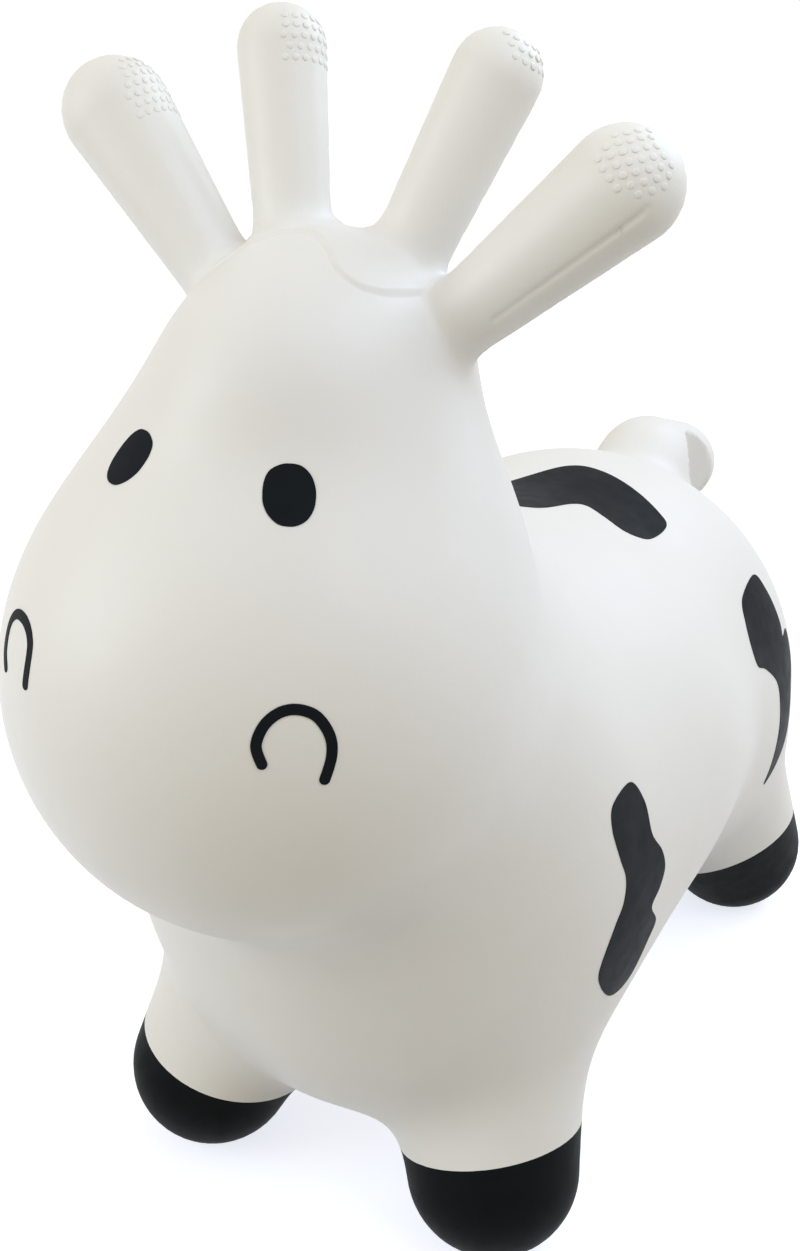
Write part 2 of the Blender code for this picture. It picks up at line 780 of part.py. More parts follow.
def outline_prism(name, outline, place):
    """A flat outline made into a block that reaches through the skin."""
    curve = bpy.data.curves.new(name, "CURVE")
    curve.dimensions = "2D"
    curve.fill_mode = "BOTH"
    curve.extrude = FILM_REACH
    curve.resolution_u = 2
    spline = curve.splines.new("BEZIER")
    spline.bezier_points.add(len(outline) - 1)
    for point, (across, up) in zip(spline.bezier_points, outline):
        point.co = (across, up, 0)
        point.handle_left_type = point.handle_right_type = "AUTO"
    spline.use_cyclic_u = True
    guide = bpy.data.objects.new(name, curve)
    bpy.context.scene.collection.objects.link(guide)
    guide.matrix_world = place
    bpy.context.view_layer.update()
    mesh = evaluated_mesh(guide)
    work = bmesh.new()
    work.from_mesh(mesh)
    bmesh.ops.remove_doubles(work, verts=work.verts, dist=FILM_GAP / 10)
    bmesh.ops.recalc_face_normals(work, faces=work.faces)
    work.to_mesh(mesh)
    work.free()
    return mesh


def add_film(skin, name, outline, start, direction, up, finish, thickness=FILM_THICKNESS):
    """A thin film that follows the skin inside an outline, seen along a direction from inside."""
    point = out_to(start, direction, 0)
    place = placed(point, outward(point), up)
    prism = add_cutter(f"outline {name}", outline_prism(name, outline, place), skin.cutters)
    top = skin.film_level(FILM_GAP + thickness)
    obj = add_object(name, top.data.copy(), skin.pieces, finish)
    cut(obj, prism, "INTERSECT")
    cut(obj, skin.film_level(FILM_GAP), "DIFFERENCE")


def add_face(skin, black):
    """Eyes and nostrils."""
    eye = squared_oval(EYE_WIDTH, EYE_TALLNESS, EYE_SQUARENESS)
    arch = sized(NOSTRIL_SHARES, NOSTRIL_WIDTH - NOSTRIL_STROKE, NOSTRIL_TALLNESS)
    rises = {"left": NOSTRIL_LEFT_RISE, "right": NOSTRIL_RIGHT_RISE}
    for side_name, side in SIDES:
        nostril = stroke_outline([(across * side, rise) for across, rise in arch], NOSTRIL_STROKE)
        start = (EYE_SIDE * side, FACE_MIDDLE[1], FACE_MIDDLE[2] + EYE_RISE)
        add_film(skin, f"eye_{side_name}", eye, start, (0, -1, 0), (0, 0, 1), black)
        start = (NOSTRIL_SIDE * side, MUZZLE_MIDDLE[1], MUZZLE_MIDDLE[2] + rises[side_name])
        add_film(skin, f"nostril_{side_name}", nostril, start, (0, -1, 0), (0, 0, 1), black)


def add_forelock(skin, white):
    """The raised lip of the moulded fringe, scalloped in front of each horn."""
    lip = stroke_outline(sized(LIP_SHARES, LIP_WIDTH, LIP_DEPTH), LIP_STROKE)
    start = (0, CRANIUM_MIDDLE[1] - LIP_AHEAD, CRANIUM_MIDDLE[2])
    add_film(skin, "forelock", lip, start, (0, 0, 1), (0, -1, 0), white, thickness=LIP_THICKNESS)


def add_spots(skin, black):
    """Black patches: one over the back, one on each shoulder and on each side of the rump."""
    outline = sized(BACK_SPOT_SHARES, BACK_SPOT_WIDTH, BACK_SPOT_LENGTH)
    start = (BACK_SPOT_SIDE, WAIST_MIDDLE[1] + BACK_SPOT_BEHIND, WAIST_MIDDLE[2])
    add_film(skin, "spot_back", outline, start, (0, 0, 1), (0, -1, 0), black)
    shoulder = sized(SHOULDER_SPOT_SHARES, SHOULDER_SPOT_WIDTH, SHOULDER_SPOT_LENGTH)
    rump = sized(RUMP_SPOT_SHARES, RUMP_SPOT_WIDTH, RUMP_SPOT_LENGTH)
    for side_name, side in SIDES:
        outline = [(across * side, up) for across, up in shoulder]
        start = (0, CHEST_MIDDLE[1] - SHOULDER_SPOT_AHEAD, CHEST_MIDDLE[2] + SHOULDER_SPOT_RISE)
        add_film(skin, f"spot_shoulder_{side_name}", outline, start, (side, 0, 0), (0, 0, 1), black)
        outline = [(across * side, up) for across, up in rump]
        start = (0, RUMP_MIDDLE[1] - RUMP_SPOT_AHEAD, RUMP_MIDDLE[2] + RUMP_SPOT_RISE)
        add_film(skin, f"spot_rump_{side_name}", outline, start, (side, 0, 0), (0, 0, 1), black)


# The whole cow


def add_torso(skin, white, seats):
    """The trunk: open to the head, the legs and the valve, with a round seat for the tail."""
    torso = skin.shell("torso_skin", white)
    cut(torso, skin.below_neck, "INTERSECT")
    for leg in LEGS:
        for side_name, side in SIDES:
            mesh = leg_region(leg, side, 0)
            cut(torso, add_cutter(f"opening {leg.name} {side_name}", mesh, skin.cutters), "DIFFERENCE")
    cut(torso, skin.hollow, "DIFFERENCE")
    cut(torso, seats["tail"], "DIFFERENCE")

    def build(work):
        bmesh.ops.create_cone(
            work,
            cap_ends=True,
            segments=24,
            radius1=VALVE_SEAT_RADIUS,
            radius2=VALVE_SEAT_RADIUS,
            depth=VALVE_SEAT_HEIGHT * 4,
        )
        bmesh.ops.transform(work, matrix=valve_frame(), verts=work.verts)

    cut(torso, add_cutter("valve opening", mesh_from("valve opening", build), skin.cutters), "DIFFERENCE")


def add_head(skin, white, seats):
    """The head: open to the trunk, with a round seat for each horn and ear."""
    head = skin.shell("head_skin", white)
    cut(head, skin.above_neck, "INTERSECT")
    cut(head, skin.hollow, "DIFFERENCE")
    for name, seat in seats.items():
        if name != "tail":
            cut(head, seat, "DIFFERENCE")


def main():
    clear_scene()
    pieces = new_collection("Ride-on cow")
    cutters = new_collection("Cutters")
    white = material("white skin", WHITE_SKIN, 0.42)
    cream = material("cream rubber", CREAM_SKIN, 0.50)
    black = material("black paint", BLACK_PAINT, 0.40)
    plug = material("valve plastic", PLUG_WHITE, 0.45)
    skin = Skin(pieces, cutters)
    seats = {}
    for name, line, root_radius, tip_radius in stubs():
        add_stub(name, line, root_radius, tip_radius, pieces, white if name == "tail" else cream)
        seats[name] = add_cutter(f"seat {name}", ball(line[0], root_radius + STUB_ROOT_GAP), cutters)
    add_torso(skin, white, seats)
    add_head(skin, white, seats)
    for leg in LEGS:
        for side_name, side in SIDES:
            add_leg(skin, leg, side_name, side, white, black)
    add_valve_seat(pieces, white)
    add_stopper(pieces, plug)
    add_face(skin, black)
    add_forelock(skin, white)
    add_spots(skin, black)


main()
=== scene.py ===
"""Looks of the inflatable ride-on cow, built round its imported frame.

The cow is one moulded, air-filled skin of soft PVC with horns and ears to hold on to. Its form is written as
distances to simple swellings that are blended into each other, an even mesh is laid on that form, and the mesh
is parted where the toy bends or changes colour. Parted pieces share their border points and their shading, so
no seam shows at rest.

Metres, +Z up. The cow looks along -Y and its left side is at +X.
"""

import logging
import math
from collections.abc import Callable, Iterable, Sequence
from dataclasses import dataclass, field
from enum import Enum

import bmesh
import bpy
import numpy as np
from mathutils import Matrix, Vector, geometry


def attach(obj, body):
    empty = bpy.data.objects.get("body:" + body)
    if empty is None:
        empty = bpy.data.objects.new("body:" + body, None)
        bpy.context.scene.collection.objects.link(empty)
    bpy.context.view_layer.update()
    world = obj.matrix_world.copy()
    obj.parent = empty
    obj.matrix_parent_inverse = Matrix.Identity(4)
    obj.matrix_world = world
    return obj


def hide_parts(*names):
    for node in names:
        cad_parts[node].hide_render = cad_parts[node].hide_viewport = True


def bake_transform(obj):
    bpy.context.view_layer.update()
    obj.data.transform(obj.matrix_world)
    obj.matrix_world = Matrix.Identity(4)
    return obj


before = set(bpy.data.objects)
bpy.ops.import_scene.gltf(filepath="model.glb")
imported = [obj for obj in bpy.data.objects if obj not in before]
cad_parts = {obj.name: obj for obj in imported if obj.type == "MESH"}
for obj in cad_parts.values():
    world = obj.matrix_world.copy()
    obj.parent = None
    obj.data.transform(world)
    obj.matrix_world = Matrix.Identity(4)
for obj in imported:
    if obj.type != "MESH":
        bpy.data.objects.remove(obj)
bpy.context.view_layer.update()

Vec3 = tuple[float, float, float]
Pair = tuple[float, float]
Outline = Sequence[Pair]

LOG = logging.getLogger("ride_on_cow")
MILLIMETRE = 0.001
WHITE = (1.0, 1.0, 1.0, 1.0)
# The Mix node's sockets for colours share their names with others, so they go by number.
MIX_SHARE = 0
MIX_FIRST = 6
MIX_SECOND = 7
MIX_COLOUR = 2


class Side(Enum):
    """The two sides of the cow. The value is the sign of X."""

    LEFT = 1.0
    RIGHT = -1.0

    @property
    def word(self) -> str:
        """The side's name as it stands in the names of pieces."""
        return self.name.lower()


def on_side(place: Vec3, side: Side) -> Vec3:
    """A place of the left side, or its mirror image on the right one."""
    return (place[0] * side.value, place[1], place[2])


# ---------------------------------------------------------------- meshes and objects


def placed(data: bpy.types.ID) -> bpy.types.Object:
    """Puts a mesh, a lamp or a camera into the scene under its own name.

    Args:
        data: The mesh, lamp or camera.

    Returns:
        The new object.
    """
    obj = bpy.data.objects.new(data.name, data)
    bpy.context.scene.collection.objects.link(obj)
    return obj


def shell(name: str, faces: tuple[np.ndarray, np.ndarray], normals: np.ndarray, rings: list[list[int]],
          rims: list[tuple[int, int]], finish: bpy.types.Material) -> bpy.types.Object:
    """A closed piece between an outer and an inner face, with exact normals and flat rims.

    Args:
        name: The piece's name.
        faces: The outer face's points and the inner face's points below them.
        normals: The outer points' normals.
        rings: The outer face's polygons.
        rims: The outer face's border edges.
        finish: The piece's material.

    Returns:
        The new object.
    """
    count = len(normals)
    backs = [[index + count for index in reversed(ring)] for ring in rings]
    edges = [[second, first, first + count, second + count] for first, second in rims]
    mesh = bpy.data.meshes.new(name)
    mesh.from_pydata(np.concatenate(faces).tolist(), [], rings + backs + edges)
    mesh.shade_smooth()
    loops = [tuple(normals[index]) for ring in rings for index in ring]
    loops += [tuple(-normals[index - count]) for ring in backs for index in ring]
    for edge in mesh.polygons[2 * len(rings):]:
        loops += [tuple(edge.normal)] * len(edge.vertices)
    mesh.normals_split_custom_set(loops)
    mesh.materials.append(finish)
    return placed(mesh)


def turn(work: bmesh.types.BMesh, profile: Outline, place: Matrix, sides: int) -> None:
    """Turns a profile of radii and heights round the Z axis of a place.

    Args:
        work: The mesh that takes up the shape.
        profile: Radii and heights.
        place: Where the axis stands.
        sides: Steps of a full turn.
    """
    line = [work.verts.new(place @ Vector((radius, 0.0, height))) for radius, height in profile]
    edges = [work.edges.new(pair) for pair in zip(line, line[1:])]
    axis = place.to_3x3().col[2]
    bmesh.ops.spin(work, geom=[*line, *edges], cent=place.translation, axis=axis, angle=math.tau, steps=sides)


def upright(place: Vec3, heading: Vec3) -> Matrix:
    """A place whose Z axis looks along a heading."""
    return Matrix.Translation(place) @ Vector(heading).to_track_quat("Z", "Y").to_matrix().to_4x4()


def smooth_object(work: bmesh.types.BMesh, name: str, finish: bpy.types.Material,
                  weld: float) -> bpy.types.Object:
    """Welds turned shapes and makes an object of them.

    Args:
        work: The shapes. They are freed.
        name: The object's name.
        finish: Its material.
        weld: Points closer than this become one.

    Returns:
        The new object.
    """
    bmesh.ops.remove_doubles(work, verts=work.verts, dist=weld)
    bmesh.ops.recalc_face_normals(work, faces=work.faces)
    mesh = bpy.data.meshes.new(name)
    work.to_mesh(mesh)
    work.free()
    mesh.shade_smooth()
    mesh.materials.append(finish)
    return placed(mesh)


# ---------------------------------------------------------------- the moulded form


def blended(first: np.ndarray, second: np.ndarray, reach: float) -> np.ndarray:
    """The nearer of two distances, with the crease between the shapes filled.

    Args:
        first: Distances to one shape.
        second: Distances to the other shape.
        reach: How far from the crease the filling starts.

    Returns:
        Distances to the two shapes melted together.
    """
    overlap = np.maximum(reach - np.abs(first - second), 0) / reach
    return np.minimum(first, second) - overlap**3 * reach / 6


def carved(first: np.ndarray, second: np.ndarray, reach: float) -> np.ndarray:
    """Distances to the first shape with the second one taken out of it, the edge rounded over the reach."""
    return -blended(-first, second, reach)


def egg(work: bmesh.types.BMesh, middle: Vec3, half: Vec3, around: int) -> list[bmesh.types.BMVert]:
    """Adds an egg shape to a rough mesh, with some points around it, and returns its points.

    Args:
        work: The rough mesh.
        middle: The egg's middle.
        half: Its half sizes.
        around: Points round its girth.

    Returns:
        The egg's points.
    """
    place = Matrix.Translation(middle) @ Matrix.Diagonal((*half, 1))
    made = bmesh.ops.create_uvsphere(work, u_segments=around, v_segments=around // 2, radius=1, matrix=place)
    return made["verts"]


@dataclass(frozen=True)
class Plane:
    """A flat cut: a point on it and the way its upper side looks."""

    point: Vec3
    up: Vec3

    def heights(self, points: np.ndarray) -> np.ndarray:
        """How high the points lie over the plane."""
        up = np.array(self.up)
        return (points - np.array(self.point)) @ up / np.linalg.norm(up)


@dataclass(frozen=True)
class Swelling:
    """An egg-shaped swelling of the skin: its middle and its half sizes."""

    middle: Vec3
    half: Vec3
    around: int = 32

    def distance(self, points: np.ndarray) -> np.ndarray:
        """Distances from the points to the swelling, true close to it.

        Args:
            points: Places, one to a row.

        Returns:
            One distance for each point, negative inside.
        """
        offset = points - np.array(self.middle)
        half = np.array(self.half)
        scaled = np.linalg.norm(offset / half, axis=1)
        return scaled * (scaled - 1) / np.linalg.norm(offset / half**2, axis=1)

    def rough(self, work: bmesh.types.BMesh) -> None:
        """Adds the swelling to the rough start of the mesh."""
        egg(work, self.middle, self.half, self.around)


@dataclass(frozen=True)
class Limb:
    """A ball swept along a line while its radius changes."""

    top: Vec3
    top_radius: float
    foot: Vec3
    foot_radius: float
    around: int = 20

    def mirrored(self, side: Side) -> "Limb":
        """The same limb on a side of the cow."""
        return Limb(on_side(self.top, side), self.top_radius, on_side(self.foot, side), self.foot_radius)

    def distance(self, points: np.ndarray) -> np.ndarray:
        """Distances from the points to the limb.

        Args:
            points: Places, one to a row.

        Returns:
            One distance for each point, negative inside.
        """
        top = np.array(self.top)
        along = np.array(self.foot) - top
        length = np.linalg.norm(along)
        taper = (self.top_radius - self.foot_radius) / length
        offset = points - top
        height = offset @ along / length
        aside = np.linalg.norm(offset - np.outer(height, along / length), axis=1)
        seat = np.clip(height - aside * taper / math.sqrt(1 - taper**2), 0, length)
        return np.hypot(aside, height - seat) - self.top_radius + taper * seat

    def near(self, points: np.ndarray, reach: float) -> np.ndarray:
        """Which of the points the limb can change when it is blended in over a reach.

        Args:
            points: Places, one to a row.
            reach: The blend's reach.

        Returns:
            True for each point that lies near.
        """
        top, foot = np.array(self.top), np.array(self.foot)
        radius = np.linalg.norm(foot - top) / 2 + max(self.top_radius, self.foot_radius) + reach
        return np.linalg.norm(points - (top + foot) / 2, axis=1) < radius

    def rough(self, work: bmesh.types.BMesh) -> None:
        """Adds the limb to the rough start of the mesh, as the hull of its end balls.

        Args:
            work: The rough mesh.
        """
        ends = egg(work, self.top, (self.top_radius,) * 3, self.around)
        ends += egg(work, self.foot, (self.foot_radius,) * 3, self.around)
        hull = bmesh.ops.convex_hull(work, input=ends)
        bmesh.ops.delete(work, geom=hull["geom_interior"], context="VERTS")


def smooth_loop(points: Outline, pitch: float, closed: bool = True) -> np.ndarray:
    """A smooth line through the points, with about even steps.

    Args:
        points: The points that the line goes through.
        pitch: Length of a step.
        closed: Whether the line returns to its start.

    Returns:
        The line's points.
    """
    given = np.array(points, float)
    ends = (given[-1:], given[:2]) if closed else (given[:1], given[-1:])
    padded = np.concatenate([ends[0], given, ends[1]])
    line = []
    for before, start, end, after in zip(padded, padded[1:], padded[2:], padded[3:]):
        steps = max(2, math.ceil(np.linalg.norm(end - start) / pitch))
        for share in np.arange(steps) / steps:
            bend = 2 * before - 5 * start + 4 * end - after
            twist = 3 * start - before - 3 * end + after
            line.append((2 * start + (end - before) * share + bend * share**2 + twist * share**3) / 2)
    if not closed:
        line.append(given[-1])
    return np.array(line)


@dataclass
class Fringe:
    """The moulded fringe: the skin stands a little higher behind a scalloped line on the forehead."""

    line: Outline = (
        (-0.0480, -0.1300), (-0.0470, -0.1500), (-0.0448, -0.1630), (-0.0403, -0.1700), (-0.0334, -0.1693),
        (-0.0274, -0.1700), (-0.0219, -0.1706), (-0.0157, -0.1690), (-0.0096, -0.1684), (-0.0034, -0.1697),
        (0.0038, -0.1743), (0.0072, -0.1776), (0.0129, -0.1832), (0.0157, -0.1858), (0.0189, -0.1873),
        (0.0221, -0.1875), (0.0247, -0.1868), (0.0269, -0.1854), (0.0305, -0.1811), (0.0330, -0.1753),
        (0.0351, -0.1690), (0.0370, -0.1640), (0.0390, -0.1550), (0.0400, -0.1300),
    )
    height: float = 0.0012
    step_width: float = 0.0016
    fade_back: Pair = (-0.1640, -0.1470)
    fade_down: Pair = (0.4120, 0.3980)
    side: np.ndarray = field(init=False)
    back: np.ndarray = field(init=False)
    lean: np.ndarray = field(init=False)

    def __post_init__(self) -> None:
        """Draws the line smoothly, as its distance to the back over the way to the side."""
        line = smooth_loop(self.line, self.step_width / 2, closed=False)
        self.side, self.back = line[np.argsort(line[:, 0])].T
        self.lean = np.gradient(self.back, self.side)

    def behind(self, points: np.ndarray) -> np.ndarray:
        """How far the points lie behind the line, seen from above: negative before it."""
        lean = np.interp(points[:, 0], self.side, self.lean)
        return (points[:, 1] - np.interp(points[:, 0], self.side, self.back)) / np.hypot(1, lean)

    def eased(self, values: np.ndarray, start: float, end: float) -> np.ndarray:
        """0 at start, 1 at end, and a soft change between."""
        share = np.clip((values - start) / (end - start), 0, 1)
        return share**2 * (3 - 2 * share)

    def present(self, points: np.ndarray) -> np.ndarray:
        """Which of the points lie where the fringe has not faded away."""
        across = (points[:, 0] > self.side[0]) & (points[:, 0] < self.side[-1])
        return across & (points[:, 2] > self.fade_down[1]) & (points[:, 1] < self.fade_back[1])

    def distance(self, points: np.ndarray) -> np.ndarray:
        """How far the points lie from the line, and endlessly far where it has faded away."""
        return np.where(self.present(points), np.abs(self.behind(points)), np.inf)

    def rise(self, points: np.ndarray) -> np.ndarray:
        """How much higher the skin stands at the points.

        Args:
            points: Places, one to a row.

        Returns:
            One height for each point.
        """
        rise = np.zeros(len(points))
        present = self.present(points)
        near = points[present]
        step = self.eased(self.behind(near), -self.step_width / 2, self.step_width / 2)
        fade = self.eased(near[:, 1], self.fade_back[1], self.fade_back[0])
        sink = self.eased(near[:, 2], self.fade_down[1], self.fade_down[0])
        rise[present] = self.height * step * fade * sink
        return rise


@dataclass(frozen=True)
class MouldedForm:
    """The whole form that the mould gives the skin."""

    cranium: Swelling = Swelling((0, -0.1640, 0.3890), (0.0465, 0.0640, 0.0465))
    face: Swelling = Swelling((0, -0.1760, 0.3275), (0.0725, 0.0620, 0.0830))
    muzzle: Swelling = Swelling((0, -0.1985, 0.2890), (0.0920, 0.0885, 0.0930))
    throat: Swelling = Swelling((0, -0.1230, 0.2265), (0.0915, 0.0705, 0.0830))
    neck: Limb = Limb((0, -0.1385, 0.3040), 0.0510, (0, -0.0905, 0.1995), 0.0785)
    chest: Swelling = Swelling((0, -0.0755, 0.1460), (0.1065, 0.1060, 0.1125))
    waist: Swelling = Swelling((0, 0.0030, 0.1750), (0.1205, 0.1230, 0.1005))
    rump: Swelling = Swelling((0, 0.1085, 0.1535), (0.1150, 0.1160, 0.1160))
    front_leg: Limb = Limb((0.0487, -0.0932, 0.1060), 0.0440, (0.0699, -0.1198, 0.0348), 0.0370)
    rear_leg: Limb = Limb((0.0565, 0.1413, 0.1136), 0.0515, (0.0817, 0.1855, 0.0348), 0.0370)
    horn: Limb = Limb((0.0210, -0.1483, 0.4251), 0.0128, (0.0400, -0.1258, 0.4847), 0.0153)
    ear: Limb = Limb((0.0362, -0.1580, 0.4022), 0.0117, (0.0940, -0.1461, 0.4601), 0.0191)
    ear_groove: Limb = Limb((0.0620, -0.1657, 0.4168), 0.0002, (0.1070, -0.1609, 0.4572), 0.0006)
    tail: Limb = Limb((0, 0.2085, 0.2370), 0.0264, (0, 0.2591, 0.2229), 0.0229)
    tail_fold: Limb = Limb((0.0470, 0.2300, 0.2420), 0.0340, (0.0455, 0.2245, 0.2060), 0.0370)
    fringe: Fringe = field(default_factory=Fringe)
    head_blend: float = 0.0390
    throat_blend: float = 0.0520
    neck_blend: float = 0.0640
    trunk_blend: float = 0.0520
    shoulder_blend: float = 0.1065
    leg_blend: float = 0.0330
    stub_blend: float = 0.0125
    tail_blend: float = 0.0360
    fold_blend: float = 0.0015
    groove_blend: float = 0.0030
    near_margin: float = 0.0200
    slope_step: float = 0.0002
    least_square_slope: float = 0.25
    march_steps: int = 60
    march_share: float = 0.8

    def legs(self) -> list[Limb]:
        """The four legs."""
        return [limb.mirrored(side) for limb in (self.front_leg, self.rear_leg) for side in Side]

    def stubs(self) -> list[Limb]:
        """Horns, ears and tail."""
        return [limb.mirrored(side) for limb in (self.horn, self.ear) for side in Side] + [self.tail]

    def shapes(self) -> list[Swelling | Limb]:
        """Everything that the form is blended from."""
        trunk = [self.throat, self.chest, self.waist, self.rump, self.neck]
        return [self.cranium, self.face, self.muzzle, *trunk, *self.legs(), *self.stubs()]

    def stub_distance(self, stub: Limb, points: np.ndarray) -> np.ndarray:
        """Distances to a horn, an ear, the left ear with its groove, or the tail with its fold.

        Args:
            stub: The limb that stands for it.
            points: Places, one to a row.

        Returns:
            One distance for each point, negative inside.
        """
        distance = stub.distance(points)
        if stub == self.tail:
            return carved(distance, self.tail_fold.distance(points), self.fold_blend)
        if stub == self.ear:
            return carved(distance, self.ear_groove.distance(points), self.groove_blend)
        return distance

    def distance(self, points: np.ndarray) -> np.ndarray:
        """Distances from the points to the skin: negative inside, positive outside.

        Args:
            points: Places, one to a row.

        Returns:
            One distance for each point.
        """
        crown = blended(self.cranium.distance(points), self.face.distance(points), self.head_blend)
        head = blended(crown, self.muzzle.distance(points), self.head_blend)
        neck = blended(self.neck.distance(points), self.throat.distance(points), self.throat_blend)
        front = blended(self.chest.distance(points), self.waist.distance(points), self.trunk_blend)
        trunk = blended(front, self.rump.distance(points), self.trunk_blend)
        body = blended(trunk, blended(head, neck, self.neck_blend), self.shoulder_blend)
        for leg in self.legs():
            near = leg.near(points, self.leg_blend + self.near_margin)
            body[near] = blended(body[near], leg.distance(points[near]), self.leg_blend)
        body -= self.fringe.rise(points)
        for stub in self.stubs():
            reach = self.tail_blend if stub == self.tail else self.stub_blend
            near = stub.near(points, reach + self.near_margin)
            body[near] = blended(body[near], self.stub_distance(stub, points[near]), reach)
        return body

    def slope(self, points: np.ndarray) -> np.ndarray:
        """How the distance grows along X, Y and Z at the points.

        Args:
            points: Places, one to a row.

        Returns:
            One slope for each point.
        """
        steps = np.eye(3) * self.slope_step
        rises = [self.distance(points + step) - self.distance(points - step) for step in steps]
        return np.stack(rises, axis=1) / (2 * self.slope_step)

    def settled(self, points: np.ndarray, rounds: int) -> np.ndarray:
        """The points moved straight out or in until they lie on the skin, in a number of rounds.

        Args:
            points: Places near the skin, one to a row.
            rounds: How often they are moved.

        Returns:
            The places on the skin.
        """
        for _ in range(rounds):
            slope = self.slope(points)
            size = np.maximum((slope**2).sum(axis=1), self.least_square_slope)
            points = points - slope * (self.distance(points) / size)[:, None]
        return points

    def normals(self, points: np.ndarray) -> np.ndarray:
        """The skin's own normals at the points."""
        slope = self.slope(points)
        return slope / np.linalg.norm(slope, axis=1)[:, None]

    def beyond(self, start: Vec3, direction: Vec3) -> Vector:
        """The point of the skin that is met on the way from a start inside it.

        Args:
            start: A place inside the skin.
            direction: The way to go.

        Returns:
            The point.
        """
        heading = np.array(direction) / np.linalg.norm(direction)
        point = np.array(start, float)
        for _ in range(self.march_steps):
            point = point - heading * self.distance(point[None])[0] * self.march_share
        return Vector(point)


# ---------------------------------------------------------------- finishes


@dataclass(frozen=True)
class Noise:
    """Cloudy noise: clouds to the metre, finer layers, and how strong those are."""

    scale: float
    detail: float
    rough: float = 0.55


@dataclass(frozen=True)
class Grain:
    """A bump made of noise: its strength, from 0 to 1, and the metres that a value of 1 stands for."""

    noise: Noise
    strength: float
    height: float


class Nodes:
    """The node tree of a material or a world, filled by short calls."""

    def __init__(self, owner: bpy.types.Material | bpy.types.World, empty: bool = True) -> None:
        """Starts the tree.

        Args:
            owner: What the tree belongs to.
            empty: Whether the nodes that Blender puts there are taken out.
        """
        owner.use_nodes = True
        self.tree = owner.node_tree
        if empty:
            self.tree.nodes.clear()

    def add(self, kind: str, inputs: dict[str | int, object] | None = None,
            **settings: object) -> bpy.types.Node:
        """Adds a node.

        Args:
            kind: Blender's name of the node.
            inputs: Values or other nodes' outputs, by the name or the number of the input.
            settings: The node's own settings.

        Returns:
            The new node.
        """
        node = self.tree.nodes.new(kind)
        for key, value in settings.items():
            setattr(node, key, value)
        for key, value in (inputs or {}).items():
            self.feed(node.inputs[key], value)
        return node

    def feed(self, socket: bpy.types.NodeSocket, value: object) -> None:
        """Links an output to a socket, or sets the socket's value.

        Args:
            socket: The input that is fed.
            value: Another node's output, or a plain value.
        """
        if isinstance(value, bpy.types.NodeSocket):
            self.tree.links.new(value, socket)
        else:
            socket.default_value = value

    def noise(self, noise: Noise) -> bpy.types.NodeSocket:
        """The value of some noise in the object's own space.

        Args:
            noise: The noise.

        Returns:
            The output that gives its value.
        """
        places = self.add("ShaderNodeTexCoord").outputs["Object"]
        inputs = {"Vector": places, "Scale": noise.scale, "Detail": noise.detail, "Roughness": noise.rough}
        return self.add("ShaderNodeTexNoise", inputs).outputs["Fac"]

    def spread(self, value: bpy.types.NodeSocket, found: Pair, wanted: Pair) -> bpy.types.NodeSocket:
        """Maps a value from the range it is found in onto the range that is wanted.

        Args:
            value: The output that gives the value.
            found: The range it is found in.
            wanted: The range that is wanted.

        Returns:
            The output that gives the mapped value.
        """
        inputs = {"Value": value, "From Min": found[0], "From Max": found[1], "To Min": wanted[0],
                  "To Max": wanted[1]}
        return self.add("ShaderNodeMapRange", inputs).outputs["Result"]

    def mixed(self, share: bpy.types.NodeSocket, first: object, second: object) -> bpy.types.NodeSocket:
        """The first colour where the share is 0, the second where it is 1, and mixtures between."""
        inputs = {MIX_SHARE: share, MIX_FIRST: first, MIX_SECOND: second}
        return self.add("ShaderNodeMix", inputs, data_type="RGBA").outputs[MIX_COLOUR]


@dataclass(frozen=True)
class Finish:
    """A procedural finish: two colours in clouds, uneven gloss and layers of fine grain."""

    name: str
    colour: Vec3
    cloud: Vec3
    clouds: Noise
    roughness: Pair
    wear: Noise
    grains: tuple[Grain, ...]
    specular: float = 0.5
    # Painted shade: a creamier tint that the colour turns to above a range of heights, on horns and ears.
    high_colour: Vec3 | None = None
    high_range: Pair = (0.415, 0.470)
    noise_range: Pair = (0.3, 0.7)

    def material(self) -> bpy.types.Material:
        """Builds the material.

        Returns:
            The new material.
        """
        material = bpy.data.materials.new(self.name)
        nodes = Nodes(material, empty=False)
        clouds = nodes.spread(nodes.noise(self.clouds), self.noise_range, (0, 1))
        colour = nodes.mixed(clouds, (*self.colour, 1), (*self.cloud, 1))
        # Painted shade: above a height the colour turns creamier, standing in for the shade on horns and ears.
        if self.high_colour is not None:
            places = nodes.add("ShaderNodeTexCoord").outputs["Object"]
            height = nodes.add("ShaderNodeSeparateXYZ", {"Vector": places}).outputs["Z"]
            colour = nodes.mixed(nodes.spread(height, self.high_range, (0, 1)), colour, (*self.high_colour, 1))
        below: dict[str, object] = {}
        for grain in self.grains:
            inputs = {"Height": nodes.noise(grain.noise), "Strength": grain.strength, "Distance": grain.height}
            below = {"Normal": nodes.add("ShaderNodeBump", inputs | below).outputs["Normal"]}
        roughness = nodes.spread(nodes.noise(self.wear), self.noise_range, self.roughness)
        shader = nodes.tree.nodes["Principled BSDF"]
        wanted = {"Base Color": colour, "Roughness": roughness, "Specular IOR Level": self.specular, **below}
        for key, value in wanted.items():
            nodes.feed(shader.inputs[key], value)
        return material


# Satin skin with a fine orange peel on shallow waves, and painted shade on horns and ears: a creamier tint
# above a height.
SOFT_PVC = Finish(
    name="soft_white_pvc",
    colour=(0.812, 0.808, 0.798),
    cloud=(0.790, 0.784, 0.768),
    clouds=Noise(9, 4),
    roughness=(0.40, 0.50),
    wear=Noise(55, 5, 0.6),
    grains=(Grain(Noise(950, 2), 0.35, 0.00012), Grain(Noise(70, 2), 0.25, 0.00060)),
    specular=0.42,
    high_colour=(0.815, 0.803, 0.768),
)
